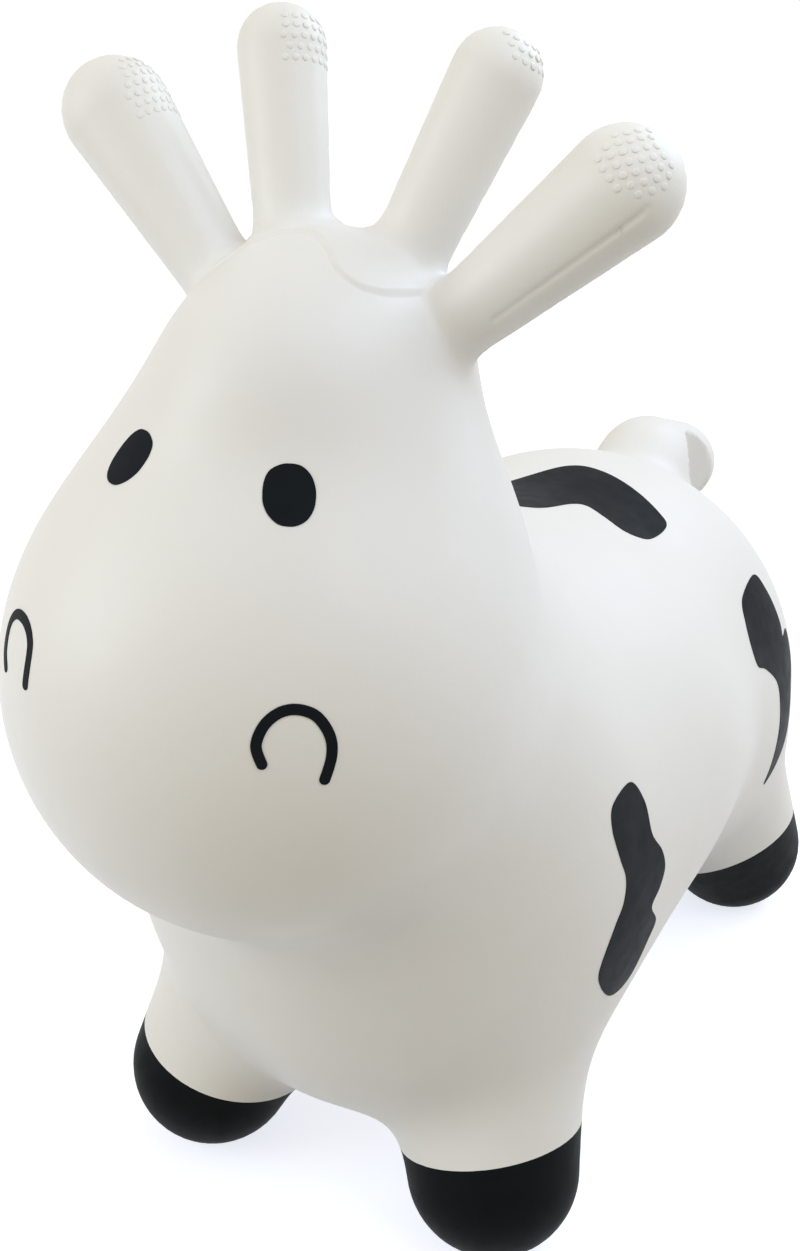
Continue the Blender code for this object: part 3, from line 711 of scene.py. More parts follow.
# Sprayed black paint, slightly blue, with a finer grain than the skin.
PAINT_GRAIN = Grain(Noise(1300, 2), 0.30, 0.00008)
BLACK_PAINT = Finish(
    name="black_paint",
    colour=(0.0060, 0.0080, 0.0105),
    cloud=(0.0095, 0.0115, 0.0140),
    clouds=Noise(40, 4),
    roughness=(0.44, 0.54),
    wear=Noise(120, 4),
    grains=(PAINT_GRAIN,),
    specular=0.045,
)
# The hooves' paint is duller and deeper.
HOOF_PAINT = Finish(
    name="hoof_paint",
    colour=(0.0032, 0.0045, 0.0050),
    cloud=(0.0052, 0.0068, 0.0074),
    clouds=Noise(40, 4),
    roughness=(0.50, 0.60),
    wear=Noise(120, 4),
    grains=(PAINT_GRAIN,),
    specular=0.05,
)
# Firm milky plastic of the valve's stopper.
PLUG_PLASTIC = Finish(
    name="valve_plastic",
    colour=(0.72, 0.72, 0.70),
    cloud=(0.62, 0.61, 0.57),
    clouds=Noise(260, 4),
    roughness=(0.32, 0.42),
    wear=Noise(400, 3),
    grains=(Grain(Noise(1500, 2), 0.20, 0.00005),),
)


# ---------------------------------------------------------------- the skin's mesh


@dataclass
class SkinMesh:
    """The even mesh of the whole skin, parted along planes into zones of faces."""

    form: MouldedForm
    step: float = 0.0042
    first_rounds: int = 6
    relax_rounds: int = 6
    last_rounds: int = 2
    cut_rounds: int = 5
    least_square_slope: float = 0.05
    snap_share: float = 0.30
    cut_margin: float = 0.000001
    work: bmesh.types.BMesh = field(default_factory=bmesh.new)
    on_planes: set[bmesh.types.BMVert] = field(default_factory=set)
    faces: list[bmesh.types.BMFace] = field(default_factory=list)
    face_middles: np.ndarray | None = None

    def __post_init__(self) -> None:
        """Lays an even mesh on the form."""
        for shape in self.form.shapes():
            shape.rough(self.work)
        mesh = bpy.data.meshes.new("skin start")
        self.work.to_mesh(mesh)
        start = placed(mesh)
        even = start.modifiers.new("even", "REMESH")
        even.mode = "VOXEL"
        even.voxel_size = self.step
        even_mesh = bpy.data.meshes.new_from_object(start.evaluated_get(bpy.context.evaluated_depsgraph_get()))
        self.relax(even_mesh)
        self.work.clear()
        self.work.from_mesh(even_mesh)
        bpy.data.objects.remove(start)
        bpy.data.meshes.remove(mesh)
        bpy.data.meshes.remove(even_mesh)

    def relax(self, mesh: bpy.types.Mesh) -> None:
        """Spaces the mesh's points evenly and lays them on the form.

        Args:
            mesh: The mesh, which is changed.
        """
        ends = np.empty(len(mesh.edges) * 2, int)
        mesh.edges.foreach_get("vertices", ends)
        ends = ends.reshape(-1, 2)
        places = np.empty(len(mesh.vertices) * 3)
        mesh.vertices.foreach_get("co", places)
        places = self.form.settled(places.reshape(-1, 3), self.first_rounds)
        count = np.bincount(ends.reshape(-1), minlength=len(places))[:, None]
        for _ in range(self.relax_rounds):
            around = np.zeros_like(places)
            np.add.at(around, ends[:, 0], places[ends[:, 1]])
            np.add.at(around, ends[:, 1], places[ends[:, 0]])
            places = self.form.settled((places + around / count) / 2, 1)
        mesh.vertices.foreach_set("co", self.form.settled(places, self.last_rounds).reshape(-1))
        mesh.update()

    def places(self, verts: Iterable[bmesh.types.BMVert]) -> np.ndarray:
        """The places of some of the mesh's points."""
        return np.array([vert.co.to_tuple() for vert in verts], float).reshape(-1, 3)

    def middles(self, faces: Iterable[bmesh.types.BMFace]) -> np.ndarray:
        """The middles of some of the mesh's faces."""
        return np.array([face.calc_center_median().to_tuple() for face in faces], float).reshape(-1, 3)

    def refine(self, distance: Callable[[np.ndarray], np.ndarray], reaches: Iterable[float]) -> None:
        """Makes the mesh finer near a line or a point of the skin.

        Args:
            distance: Gives the ways from some places to the line or point.
            reaches: The edges of faces nearer than each of these are halved, one reach after another.
        """
        for reach in reaches:
            faces = list(self.work.faces)
            near = distance(self.middles(faces)) < reach
            edges = list({edge for face, hit in zip(faces, near) if hit for edge in face.edges})
            made = bmesh.ops.subdivide_edges(self.work, edges=edges, cuts=1, use_grid_fill=True)
            self.settle([item for item in made["geom_inner"] if isinstance(item, bmesh.types.BMVert)])

    def settle(self, verts: list[bmesh.types.BMVert], plane: Plane | None = None) -> None:
        """Lays points on the form, and keeps them in a plane if one is given.

        Args:
            verts: The points, which are moved.
            plane: The plane that they keep to.
        """
        places = self.places(verts)
        for _ in range(self.cut_rounds):
            slope = self.form.slope(places)
            if plane is not None:
                up = np.array(plane.up) / np.linalg.norm(plane.up)
                places -= np.outer(plane.heights(places), up)
                slope -= np.outer(slope @ up, up)
            size = np.maximum((slope**2).sum(axis=1), self.least_square_slope)
            places -= slope * (self.form.distance(places) / size)[:, None]
        for vert, place in zip(verts, places):
            vert.co = place

    def part(self, plane: Plane, middle: Vec3, radius: float) -> None:
        """Cuts the faces near a middle along a plane.

        Args:
            plane: The cut.
            middle: The middle of the ball that the cut stays in.
            radius: That ball's radius.
        """
        verts = list(self.work.verts)
        places = self.places(verts)
        inside = np.linalg.norm(places - np.array(middle), axis=1) < radius
        close = np.abs(plane.heights(places)) < self.step * self.snap_share
        snapped = [vert for vert, hit in zip(verts, inside & close) if hit and vert not in self.on_planes]
        self.settle(snapped, plane)
        near = {vert for vert, hit in zip(verts, inside) if hit}
        faces = [face for face in self.work.faces if all(vert in near for vert in face.verts)]
        edges = {edge for face in faces for edge in face.edges}
        points = {vert for face in faces for vert in face.verts}
        made = bmesh.ops.bisect_plane(self.work, geom=[*faces, *edges, *points], plane_co=plane.point,
                                      plane_no=plane.up, dist=self.cut_margin)
        cut = [item for item in made["geom_cut"] if isinstance(item, bmesh.types.BMVert)]
        self.settle([vert for vert in cut if vert not in near], plane)
        self.on_planes |= {*cut, *snapped}

    def open_round(self, middle: Vec3, axis: Vec3, radius: float) -> None:
        """Leaves a round opening in the skin.

        Args:
            middle: The opening's middle on the skin.
            axis: The way that the opening looks.
            radius: The opening's radius.
        """
        heading = np.array(axis) / np.linalg.norm(axis)

        def aside(points: np.ndarray) -> np.ndarray:
            """The points' ways off the opening's axis, and a long way for those of the far skin.

            Args:
                points: Places, one to a row.

            Returns:
                One way for each point.
            """
            offset = points - np.array(middle)
            along = offset @ heading
            far = np.abs(along) > radius
            return offset - np.outer(along, heading) + np.outer(far, np.ones(3))

        def away(points: np.ndarray) -> np.ndarray:
            """How far the points lie off the opening's axis."""
            return np.linalg.norm(aside(points), axis=1)

        self.refine(away, (radius + 2 * self.step, radius + self.step))
        faces = list(self.work.faces)
        gone = [face for face, hit in zip(faces, away(self.middles(faces)) < radius) if hit]
        bmesh.ops.delete(self.work, geom=gone, context="FACES")
        rim = [vert for vert in self.work.verts if vert.is_boundary]
        places = self.places(rim)
        places += aside(places) * (radius / away(places) - 1)[:, None]
        for vert, place in zip(rim, places):
            vert.co = place

    def survey(self) -> None:
        """Notes the faces and their middles, once all cuts are made."""
        self.faces = list(self.work.faces)
        self.face_middles = self.middles(self.faces)

    def flood(self, seed: Vec3, plane: Plane, taken: set[bmesh.types.BMFace]) -> set[bmesh.types.BMFace]:
        """The faces that are joined to the one nearest a seed, up to a plane.

        Args:
            seed: A place on the zone.
            plane: The zone lies on the upper side of this plane.
            taken: Faces that belong to other zones.

        Returns:
            The zone's faces.
        """
        above = plane.heights(self.face_middles) > 0
        allowed = {face for face, high in zip(self.faces, above) if high and face not in taken}
        far = np.linalg.norm(self.face_middles - np.array(seed), axis=1)
        order = (self.faces[index] for index in np.argsort(far))
        waiting = [next(face for face in order if face in allowed)]
        zone = {waiting[0]}
        while waiting:
            for edge in waiting.pop().edges:
                fresh = [face for face in edge.link_faces if face in allowed and face not in zone]
                zone.update(fresh)
                waiting += fresh
        return zone


# ---------------------------------------------------------------- sub-assemblies


@dataclass(frozen=True)
class Stub:
    """A rubbery upright that bends at its root: where its zone starts and how long its bend is."""

    name: str
    limb: Limb
    slot: str
    rise: float
    bend: float = 0.018
    reach: float = 0.040
    out: Vec3 | None = None

    def plane(self) -> Plane:
        """The cut across the stub's root, square to the stub unless another way out of the skin is given.

        Returns:
            The cut, whose upper side looks at the stub's tip.
        """
        top, foot = Vector(self.limb.top), Vector(self.limb.foot)
        axis = Vector(self.out or foot - top).normalized()
        return Plane(tuple(top + axis * self.rise), tuple(axis))

    def bend_end(self) -> Vec3:
        """Where the stub follows its own body altogether."""
        plane = self.plane()
        return tuple(Vector(plane.point) + Vector(plane.up) * self.bend)


@dataclass(frozen=True)
class HoofLine:
    """The slanting line up to which a hoof is black: its height over the foot's middle and its way up."""

    height: float
    up: Vec3


@dataclass(frozen=True)
class LegZone:
    """A leg of the left side, with both sides' hoof lines and the plane up to which its skin gives way."""

    name: str
    limb: Limb
    left_line: HoofLine
    right_line: HoofLine
    hoof_reach: float
    give_way: Vec3
    give_from: float
    give_to: float

    def hoof_plane(self, side: Side) -> Plane:
        """The hoof line's plane, whose upper side looks down at the hoof.

        Args:
            side: The leg's side.

        Returns:
            The plane.
        """
        line = self.left_line if side is Side.LEFT else self.right_line
        up = Vector(on_side(line.up, side)).normalized()
        point = Vector(on_side(self.limb.foot, side)) + up * line.height
        return Plane(tuple(point), tuple(-up))

    def give_plane(self, side: Side, share: float = 1.0) -> Plane:
        """A plane across the skin that gives way, whose upper side looks at the hoof.

        Args:
            side: The leg's side.
            share: 1 where the skin stays still, 0 where it follows the hoof altogether.

        Returns:
            The plane.
        """
        away = Vector(on_side(self.give_way, side)).normalized()
        way = self.give_from + (self.give_to - self.give_from) * share
        return Plane(tuple(Vector(self.hoof_plane(side).point) + away * way), tuple(-away))


@dataclass
class Skin:
    """The moulded skin: trunk, head, legs, hooves, horns, ears and tail, with its real wall."""

    form: MouldedForm
    white: bpy.types.Material
    black: bpy.types.Material
    valve: "Valve"
    neck_cut: Plane = Plane((0, -0.150, 0.208), (0, -0.6820, 0.7314))
    neck_reach: float = 0.300
    leg_reach: float = 0.150
    wall: float = 0.0025
    sole_depth: float = 0.0003
    fringe_reaches: tuple[float, ...] = (0.0075, 0.0048, 0.0030)
    groove_reaches: tuple[float, ...] = (0.0080, 0.0058, 0.0044)
    legs: tuple[LegZone, ...] = ()
    stubs: tuple[Stub, ...] = ()

    def __post_init__(self) -> None:
        """Settles the zones from the form's own limbs."""
        form = self.form
        front_left = HoofLine(0.0157, (-0.322, 0.179, 0.930))
        front_right = HoofLine(0.0114, (-0.291, 0.097, 0.952))
        rear = HoofLine(0.0116, (-0.483, -0.080, 0.872))
        self.legs = (
            LegZone("front", form.front_leg, front_left, front_right, hoof_reach=0.060,
                    give_way=(-0.80, 0.25, 0.55), give_from=0.0275, give_to=0.0460),
            LegZone("rear", form.rear_leg, rear, rear, hoof_reach=0.066,
                    give_way=(-0.75, -0.25, 0.61), give_from=0.0180, give_to=0.0620),
        )
        stubs = []
        for side in Side:
            stubs.append(Stub(f"horn_{side.word}", form.horn.mirrored(side), "cream_skin", rise=0.0135))
            stubs.append(Stub(f"ear_{side.word}", form.ear.mirrored(side), "cream_skin", rise=0.0205))
        stubs.append(Stub("tail", form.tail, "white_skin", rise=-0.006, reach=0.060, out=(0.0, 0.77, 0.64)))
        self.stubs = tuple(stubs)

    def build(self) -> None:
        """Builds the mesh, parts it and makes the pieces."""
        mesh = SkinMesh(self.form)
        LOG.info("even skin: %d faces", len(mesh.work.faces))
        mesh.refine(self.form.fringe.distance, self.fringe_reaches)
        mesh.refine(self.form.ear_groove.distance, self.groove_reaches)
        mesh.open_round(self.valve.middle, self.valve.down, self.valve.seat_radius)
        self.cut(mesh)
        self.dress(mesh, self.zones(mesh))

    def cut(self, mesh: SkinMesh) -> None:
        """Cuts the mesh at the hooves, legs, uprights, tail and neck.

        Args:
            mesh: The skin's mesh.
        """
        for leg in self.legs:
            for side in Side:
                mesh.part(leg.hoof_plane(side), on_side(leg.limb.foot, side), leg.hoof_reach)
        for leg in self.legs:
            for side in Side:
                mesh.part(leg.give_plane(side), on_side(leg.limb.top, side), self.leg_reach)
        for stub in self.stubs:
            mesh.part(stub.plane(), stub.plane().point, stub.reach)
        mesh.part(self.neck_cut, self.neck_cut.point, self.neck_reach)
        mesh.survey()

    def zones(self, mesh: SkinMesh) -> dict[str, set[bmesh.types.BMFace]]:
        """The faces of each piece, by the piece's name.

        Args:
            mesh: The skin's mesh, with all its cuts.

        Returns:
            The faces by name, in the order of building.
        """
        pieces: dict[str, set[bmesh.types.BMFace]] = {}
        taken: set[bmesh.types.BMFace] = set()

        def take(name: str, seed: Vec3, plane: Plane) -> None:
            """Gives a piece its faces."""
            pieces[name] = mesh.flood(seed, plane, taken)
            taken.update(pieces[name])

        for leg in self.legs:
            for side in Side:
                foot = on_side(leg.limb.foot, side)
                take(f"hoof_{leg.name}_{side.word}", (foot[0], foot[1], 0), leg.hoof_plane(side))
                take(f"leg_{leg.name}_{side.word}", foot, leg.give_plane(side))
        for stub in self.stubs:
            take(stub.name, stub.limb.foot, stub.plane())
        take("head_skin", self.form.face.middle, self.neck_cut)
        pieces["torso_skin"] = set(mesh.faces) - taken
        return pieces

    def bends(self) -> dict[str, tuple[str, Vec3, Vec3]]:
        """The body that each bending piece follows, and where its bend starts and ends.

        Returns:
            Body, start and end by the piece's name.
        """
        found = {stub.name: (stub.name, stub.plane().point, stub.bend_end()) for stub in self.stubs}
        for leg in self.legs:
            for side in Side:
                name = f"{leg.name}_{side.word}"
                start, end = leg.give_plane(side), leg.give_plane(side, share=0.0)
                found[f"leg_{name}"] = (f"hoof_{name}", start.point, end.point)
        return found

    def dress(self, mesh: SkinMesh, pieces: dict[str, set[bmesh.types.BMFace]]) -> None:
        """Makes the objects, gives them their finish and puts the trunk, head and hoof pieces on their bodies;
        the leg, horn, ear and tail pieces are left in place without a body.

        Args:
            mesh: The skin's mesh.
            pieces: The faces of each piece by its name.
        """
        bends = self.bends()
        for name, zone in pieces.items():
            black = name.startswith("hoof")
            faces = [face for face in mesh.faces if face in zone]
            obj = self.piece(f"{name}_fine", faces, self.black if black else self.white)
            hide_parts(*((name, "forelock") if name == "head_skin" else (name,)))
            if name in bends:
                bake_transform(obj)
            else:
                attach(obj, name if black else "body")
            LOG.info("%s: %d outer faces", name, len(faces))

    def piece(self, name: str, faces: list[bmesh.types.BMFace], finish: bpy.types.Material) -> bpy.types.Object:
        """Makes an object of some faces of the skin, with the wall behind them and flat soles.

        Args:
            name: The piece's name.
            faces: Its outer faces.
            finish: Its material.

        Returns:
            The new object.
        """
        verts = list(dict.fromkeys(vert for face in faces for vert in face.verts))
        number = {vert: index for index, vert in enumerate(verts)}
        outer = np.array([vert.co for vert in verts], float)
        normals = self.form.normals(outer)
        under = outer[:, 2] < 0
        normals[outer[:, 2] < -self.sole_depth] = (0, 0, -1)
        outer[under, 2] = 0
        own = set(faces)
        rims = []
        for loop in (loop for face in faces for loop in face.loops):
            if not any(other in own for other in loop.edge.link_faces if other is not loop.face):
                rims.append((number[loop.vert], number[loop.link_loop_next.vert]))
        rings = [[number[vert] for vert in face.verts] for face in faces]
        return shell(name, (outer, outer - normals * self.wall), normals, rings, rims, finish)


# ---------------------------------------------------------------- paint


def pen_stroke(points: Outline, width: float, pitch: float, cap_steps: int = 9) -> np.ndarray:
    """The outline of a stroke with round ends, drawn along the points.

    Args:
        points: The stroke's middle line.
        width: The pen's width.
        pitch: Length of a step of the outline.
        cap_steps: Points round half of an end.

    Returns:
        The outline's points.
    """
    middle = smooth_loop(points, pitch, closed=False)
    run = np.gradient(middle, axis=0)
    aside = np.stack([-run[:, 1], run[:, 0]], axis=1)
    aside = aside / np.linalg.norm(aside, axis=1)[:, None] * width / 2
    caps = []
    for end, edge in ((middle[-1], aside[-1]), (middle[0], -aside[0])):
        for angle in np.linspace(0, -math.pi, cap_steps)[1:-1]:
            across, along = math.cos(angle), math.sin(angle)
            caps.append(end + np.array([[across, -along], [along, across]]) @ edge)
    half = len(caps) // 2
    return np.concatenate([middle + aside, caps[:half], (middle - aside)[::-1], caps[half:]])


@dataclass
class PaintedPatch:
    """A patch of paint on the skin: its outline in a plane that touches the skin at an anchor."""

    node: str
    outline: np.ndarray
    start: Vec3
    heading: Vec3
    up: Vec3
    grid: float = 0.0030
    height: float = 0.00025
    depth: float = 0.00030
    reach: float = 0.030
    edge_share: float = 0.45
    same_point: float = 0.0000001
    march_steps: int = 40
    march_share: float = 0.9

    def frame_on(self, form: MouldedForm) -> np.ndarray:
        """The patch's own frame as columns: X to the right, Y up, Z out of the skin, and its origin.

        Args:
            form: The form that carries the patch.

        Returns:
            Three rows and four columns.
        """
        point = form.beyond(self.start, self.heading)
        out = Vector(form.normals(np.array(point)[None])[0])
        right = Vector(self.up).cross(out).normalized()
        return np.array([right, out.cross(right), out, point]).T

    def encloses(self, points: np.ndarray) -> np.ndarray:
        """Which of the flat points lie inside the outline.

        Args:
            points: Flat points, one to a row.

        Returns:
            True for each point inside.
        """
        inside = np.zeros(len(points), bool)
        for start, end in zip(self.outline, np.roll(self.outline, -1, axis=0)):
            crosses = (start[1] > points[:, 1]) != (end[1] > points[:, 1])
            if start[1] != end[1]:
                at = start[0] + (points[:, 1] - start[1]) / (end[1] - start[1]) * (end[0] - start[0])
                inside ^= crosses & (points[:, 0] < at)
        return inside

    def fill_points(self) -> list[Vector]:
        """Flat points in a triangular grid over the outline, none of them close to it.

        Returns:
            The points.
        """
        low, high = self.outline.min(axis=0), self.outline.max(axis=0)
        found = []
        for row in range(int((high[1] - low[1]) / self.grid) + 1):
            for column in range(int((high[0] - low[0]) / self.grid) + 2):
                point = low + np.array((column - row % 2 / 2, row)) * self.grid
                if np.linalg.norm(self.outline - point, axis=1).min() > self.grid * self.edge_share:
                    found.append(Vector(point))
        return found

    def flat_faces(self) -> tuple[np.ndarray, list[list[int]], list[int]]:
        """Fills the outline with triangles.

        Returns:
            Flat points, triangles, and the numbers of the points round the edge, in order.
        """
        edge = [Vector(point) for point in self.outline]
        ring = list(range(len(edge)))
        made = geometry.delaunay_2d_cdt(edge + self.fill_points(), [], [ring], 1, self.same_point, True)
        flat, origins = made[0], made[3]
        middles = np.array([sum((flat[index] for index in face), Vector((0, 0))) / 3 for face in made[2]])
        triangles = [face for face, keep in zip(made[2], self.encloses(middles)) if keep]
        place = {old: index for index, olds in enumerate(origins) for old in olds if old < len(edge)}
        used = sorted({index for triangle in triangles for index in triangle})
        fresh = {old: new for new, old in enumerate(used)}
        kept = [[fresh[index] for index in triangle] for triangle in triangles]
        return np.array([flat[index] for index in used]), kept, [fresh[place[index]] for index in ring]

    def build(self, form: MouldedForm, finish: bpy.types.Material) -> bpy.types.Object:
        """Lays the patch on the skin.

        Args:
            form: The form that carries it.
            finish: Its paint.

        Returns:
            The new object.
        """
        flat, triangles, ring = self.flat_faces()
        right, up, out, origin = self.frame_on(form).T
        points = origin + flat[:, :1] * right + flat[:, 1:] * up + out * self.reach
        for _ in range(self.march_steps):
            points = points - np.outer(form.distance(points), out) * self.march_share
        normals = form.normals(points)
        # Both the triangles and the rims run anticlockwise.
        start, second, third = (flat[index] for index in triangles[0])
        if np.linalg.det([second - start, third - start]) < 0:
            triangles = [triangle[::-1] for triangle in triangles]
        rims = list(zip(ring, ring[1:] + ring[:1]))
        across, rise = self.outline.T
        if np.roll(across, 1) @ rise < across @ np.roll(rise, 1):
            rims = [rim[::-1] for rim in rims]
        faces = (points + normals * self.height, points - normals * self.depth)
        return shell(f"{self.node}_paint", faces, normals, triangles, rims, finish)


@dataclass
class Paintwork:
    """Eyes, nostrils and patches. The outlines of nostrils and patches are given in millimetres."""

    form: MouldedForm
    paint: bpy.types.Material
    pitch: float = 0.0010
    eye_grid: float = 0.0020
    nostril_grid: float = 0.0014
    nostril_width: float = 0.0034
    eye_half: Pair = (0.0081, 0.0100)
    eye_shares: Outline = (
        (0.0, 1.0), (0.45, 0.93), (0.80, 0.66), (0.97, 0.30), (1.0, -0.05), (0.93, -0.42), (0.70, -0.76),
        (0.36, -0.95), (0.0, -1.0), (-0.42, -0.92), (-0.77, -0.64), (-0.96, -0.30), (-1.0, 0.02),
        (-0.96, 0.42), (-0.78, 0.76), (-0.40, 0.95),
    )
    left_nostril: Outline = (
        (-11.0, -5.8), (-12.7, 0.1), (-10.3, 6.3), (-5.6, 10.2), (-0.2, 11.0), (5.4, 8.7), (9.3, 2.7),
        (9.9, -3.6), (7.9, -11.2),
    )
    right_nostril: Outline = (
        (-6.6, -10.2), (-10.4, -4.8), (-11.2, 3.8), (-6.4, 8.8), (2.6, 9.3), (9.3, 4.4), (11.3, -8.0),
    )
    back_spot: Outline = (
        (17.7, -21.1), (6.8, -36.3), (-7.2, -38.0), (-24.9, -32.8), (-41.6, -24.9), (-48.4, -18.4),
        (-49.1, -1.2), (-46.8, 10.0), (-38.6, 15.9), (-26.3, 11.6), (-16.8, 8.0), (-10.9, 13.7), (-4.9, 35.4),
        (4.0, 44.0), (16.0, 45.0), (27.0, 39.0), (32.0, 14.0),
    )
    shoulder_spot: Outline = (
        (2.3, 40.9), (-13.5, 39.2), (-15.4, 29.7), (-9.8, 14.6), (-4.7, 3.3), (-4.7, -7.8), (-8.9, -17.5),
        (-12.6, -31.8), (-11.3, -42.9), (-0.5, -56.8), (10.0, -61.2), (20.2, -57.9), (25.9, -43.4),
        (28.8, -34.6), (20.6, -23.2), (25.9, -16.4), (29.1, -8.6), (25.4, 1.2), (16.6, 12.7), (12.1, 28.9),
    )
    rump_spot: Outline = (
        (19.8, 35.2), (-8.0, 33.5), (-19.1, 24.0), (-24.0, 13.6), (-22.9, 4.3), (-12.6, -1.8), (0.5, -14.4),
        (3.9, -28.6), (5.9, -44.8), (6.3, -60.3), (6.1, -70.4), (19.0, -64.3), (30.8, -52.0), (29.3, -28.1),
        (35.4, -16.7), (36.5, -0.8), (24.2, 0.3), (26.4, 7.0), (25.6, 24.1),
    )
    eye_start: Vec3 = (0.0289, -0.1760, 0.3735)
    left_nostril_start: Vec3 = (0.0523, -0.1985, 0.3095)
    right_nostril_start: Vec3 = (-0.0523, -0.1985, 0.3140)
    shoulder_start: Vec3 = (0.0, -0.1058, 0.1874)
    rump_start: Vec3 = (0.0, 0.0974, 0.1970)
    back_start: Vec3 = (0.0053, 0.0624, 0.1750)
    forward: Vec3 = (0.0, -1.0, 0.0)
    up: Vec3 = (0.0, 0.0, 1.0)

    def scaled(self, points: Outline, across: float, rise: float) -> Outline:
        """The points with their two measures scaled."""
        return [(point[0] * across, point[1] * rise) for point in points]

    def patches(self) -> list[PaintedPatch]:
        """Every painted patch.

        Returns:
            The patches of both sides and of the back.
        """
        found = []
        for side, nostril, start in (
            (Side.LEFT, self.left_nostril, self.left_nostril_start),
            (Side.RIGHT, self.right_nostril, self.right_nostril_start),
        ):
            sign = side.value
            across, rise = self.eye_half
            oval = smooth_loop(self.scaled(self.eye_shares, across * sign, rise), self.pitch)
            eye_start = on_side(self.eye_start, side)
            found.append(
                PaintedPatch(f"eye_{side.word}", oval, eye_start, self.forward, self.up, self.eye_grid)
            )
            arch = pen_stroke(self.scaled(nostril, MILLIMETRE, MILLIMETRE), self.nostril_width, self.pitch)
            found.append(
                PaintedPatch(f"nostril_{side.word}", arch, start, self.forward, self.up, self.nostril_grid)
            )
            for name, spot, middle in (
                ("spot_shoulder", self.shoulder_spot, self.shoulder_start),
                ("spot_rump", self.rump_spot, self.rump_start),
            ):
                loop = smooth_loop(self.scaled(spot, MILLIMETRE * sign, MILLIMETRE), self.pitch)
                found.append(PaintedPatch(f"{name}_{side.word}", loop, middle, (sign, 0.0, 0.0), self.up))
        loop = smooth_loop(self.scaled(self.back_spot, MILLIMETRE, MILLIMETRE), self.pitch)
        return [*found, PaintedPatch("spot_back", loop, self.back_start, self.up, self.forward)]

    def build(self) -> None:
        """Lays all the paint on the skin."""
        for patch in self.patches():
            obj = patch.build(self.form, self.paint)
            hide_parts(patch.node)
            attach(obj, "body")
            LOG.info("%s: %d faces", obj.name, len(obj.data.polygons))


# ---------------------------------------------------------------- valve


@dataclass
class Valve:
    """The air valve: the ring moulded into the belly and the ribbed stopper in it, with a pull tab."""

    form: MouldedForm
    skin: bpy.types.Material
    plastic: bpy.types.Material
    middle: Vec3 = (0.0, 0.0160, 0.0625)
    down: Vec3 = (0.0, 0.0172, -0.99985)
    seat_radius: float = 0.0110
    seam: float = 0.0003
    bore: float = 0.0048
    seat_height: float = 0.0070
    sink: float = 0.0004
    clearance: float = 0.0004
    stem_length: float = 0.0190
    neck_share: float = 0.8
    ribs: int = 3
    flange_radius: float = 0.0095
    flange_thickness: float = 0.0020
    tab_radius: float = 0.0032
    tab_height: float = 0.0030
    edge: float = 0.0005
    edge_share: float = 0.45
    edge_steps: int = 4
    weld: float = 0.000005
    sides: int = 72

    def __post_init__(self) -> None:
        """Finds the valve's middle on the skin."""
        inside = (self.middle[0], self.middle[1], self.form.waist.middle[2])
        self.middle = tuple(self.form.beyond(inside, (0.0, 0.0, -1.0)))

    def build(self) -> None:
        """Builds the ring and the stopper."""
        self.turned("valve_seat", self.seat_profile(), self.skin, "body")
        self.turned("valve_stopper", self.stopper_profile(), self.plastic, "stopper")

    def seat_profile(self) -> Outline:
        """The ring's profile as radii and heights over the skin, closed.

        Returns:
            The profile.
        """
        outer, high, low = self.seat_radius - self.seam, -self.sink, -self.sink - self.seat_height
        profile = self.softened([(outer, low), (outer, high), (self.bore, high), (self.bore, low)], closed=True)
        return [*profile, profile[0]]

    def stopper_profile(self) -> Outline:
        """The stopper's profile from the tab's top down to the stem's end.

        Returns:
            The profile.
        """
        face = self.seam - self.sink
        stem = self.bore - self.clearance
        neck = stem * self.neck_share
        top = face + self.flange_thickness
        high = top + self.tab_height
        profile = [(0.0, high), (self.tab_radius, high), (self.tab_radius, top), (self.flange_radius, top),
                   (self.flange_radius, face), (neck, face)]
        pitch = self.stem_length / self.ribs
        for index in range(self.ribs):
            low = face - (index + 1) * pitch
            profile += [(neck, low + pitch / 2), (stem, low + pitch / 2), (neck, low)]
        profile[-1] = (neck * self.neck_share, face - self.stem_length)
        return self.softened([*profile, (0.0, face - self.stem_length)], closed=False)

    def softened(self, corners: list[Pair], closed: bool) -> Outline:
        """Rounds the corners of a profile.

        Args:
            corners: The profile's corners.
            closed: Whether the last one is joined to the first.

        Returns:
            The profile with an arc of points at each corner.
        """
        given = [Vector(corner) for corner in corners]
        count = len(given)
        points = [] if closed else [corners[0]]
        for index in range(count) if closed else range(1, count - 1):
            corner = given[index]
            before, after = given[index - 1] - corner, given[(index + 1) % count] - corner
            reach = min(self.edge, before.length * self.edge_share, after.length * self.edge_share)
            start, end = corner + before.normalized() * reach, corner + after.normalized() * reach
            for share in np.linspace(0, 1, self.edge_steps):
                first, second = start.lerp(corner, share), corner.lerp(end, share)
                points.append(tuple(first.lerp(second, share)))
        return points if closed else [*points, corners[-1]]

    def turned(self, node: str, profile: Outline, finish: bpy.types.Material, body: str) -> None:
        """Turns a profile round the valve's axis and puts it in its node's place.

        Args:
            node: The node that the piece stands for.
            profile: Radii and heights over the skin.
            finish: The piece's material.
            body: The body that carries the piece.
        """
        work = bmesh.new()
        turn(work, profile, upright(self.middle, self.down), self.sides)
        obj = smooth_object(work, f"{node}_fine", finish, self.weld)
        flat = obj.modifiers.new("flat faces", "WEIGHTED_NORMAL")
        flat.keep_sharp = True
        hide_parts(node)
        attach(obj, body)
        LOG.info("%s: %d faces", obj.name, len(obj.data.polygons))


# ---------------------------------------------------------------- hand grips


@dataclass(frozen=True)
class GripField:
    """Where a grip's pimples lie: on skin that faces one way, between two heights over the tip's ball."""

    stub: str
    facing: Vec3
    least_cosine: float
    low: float
    high: float


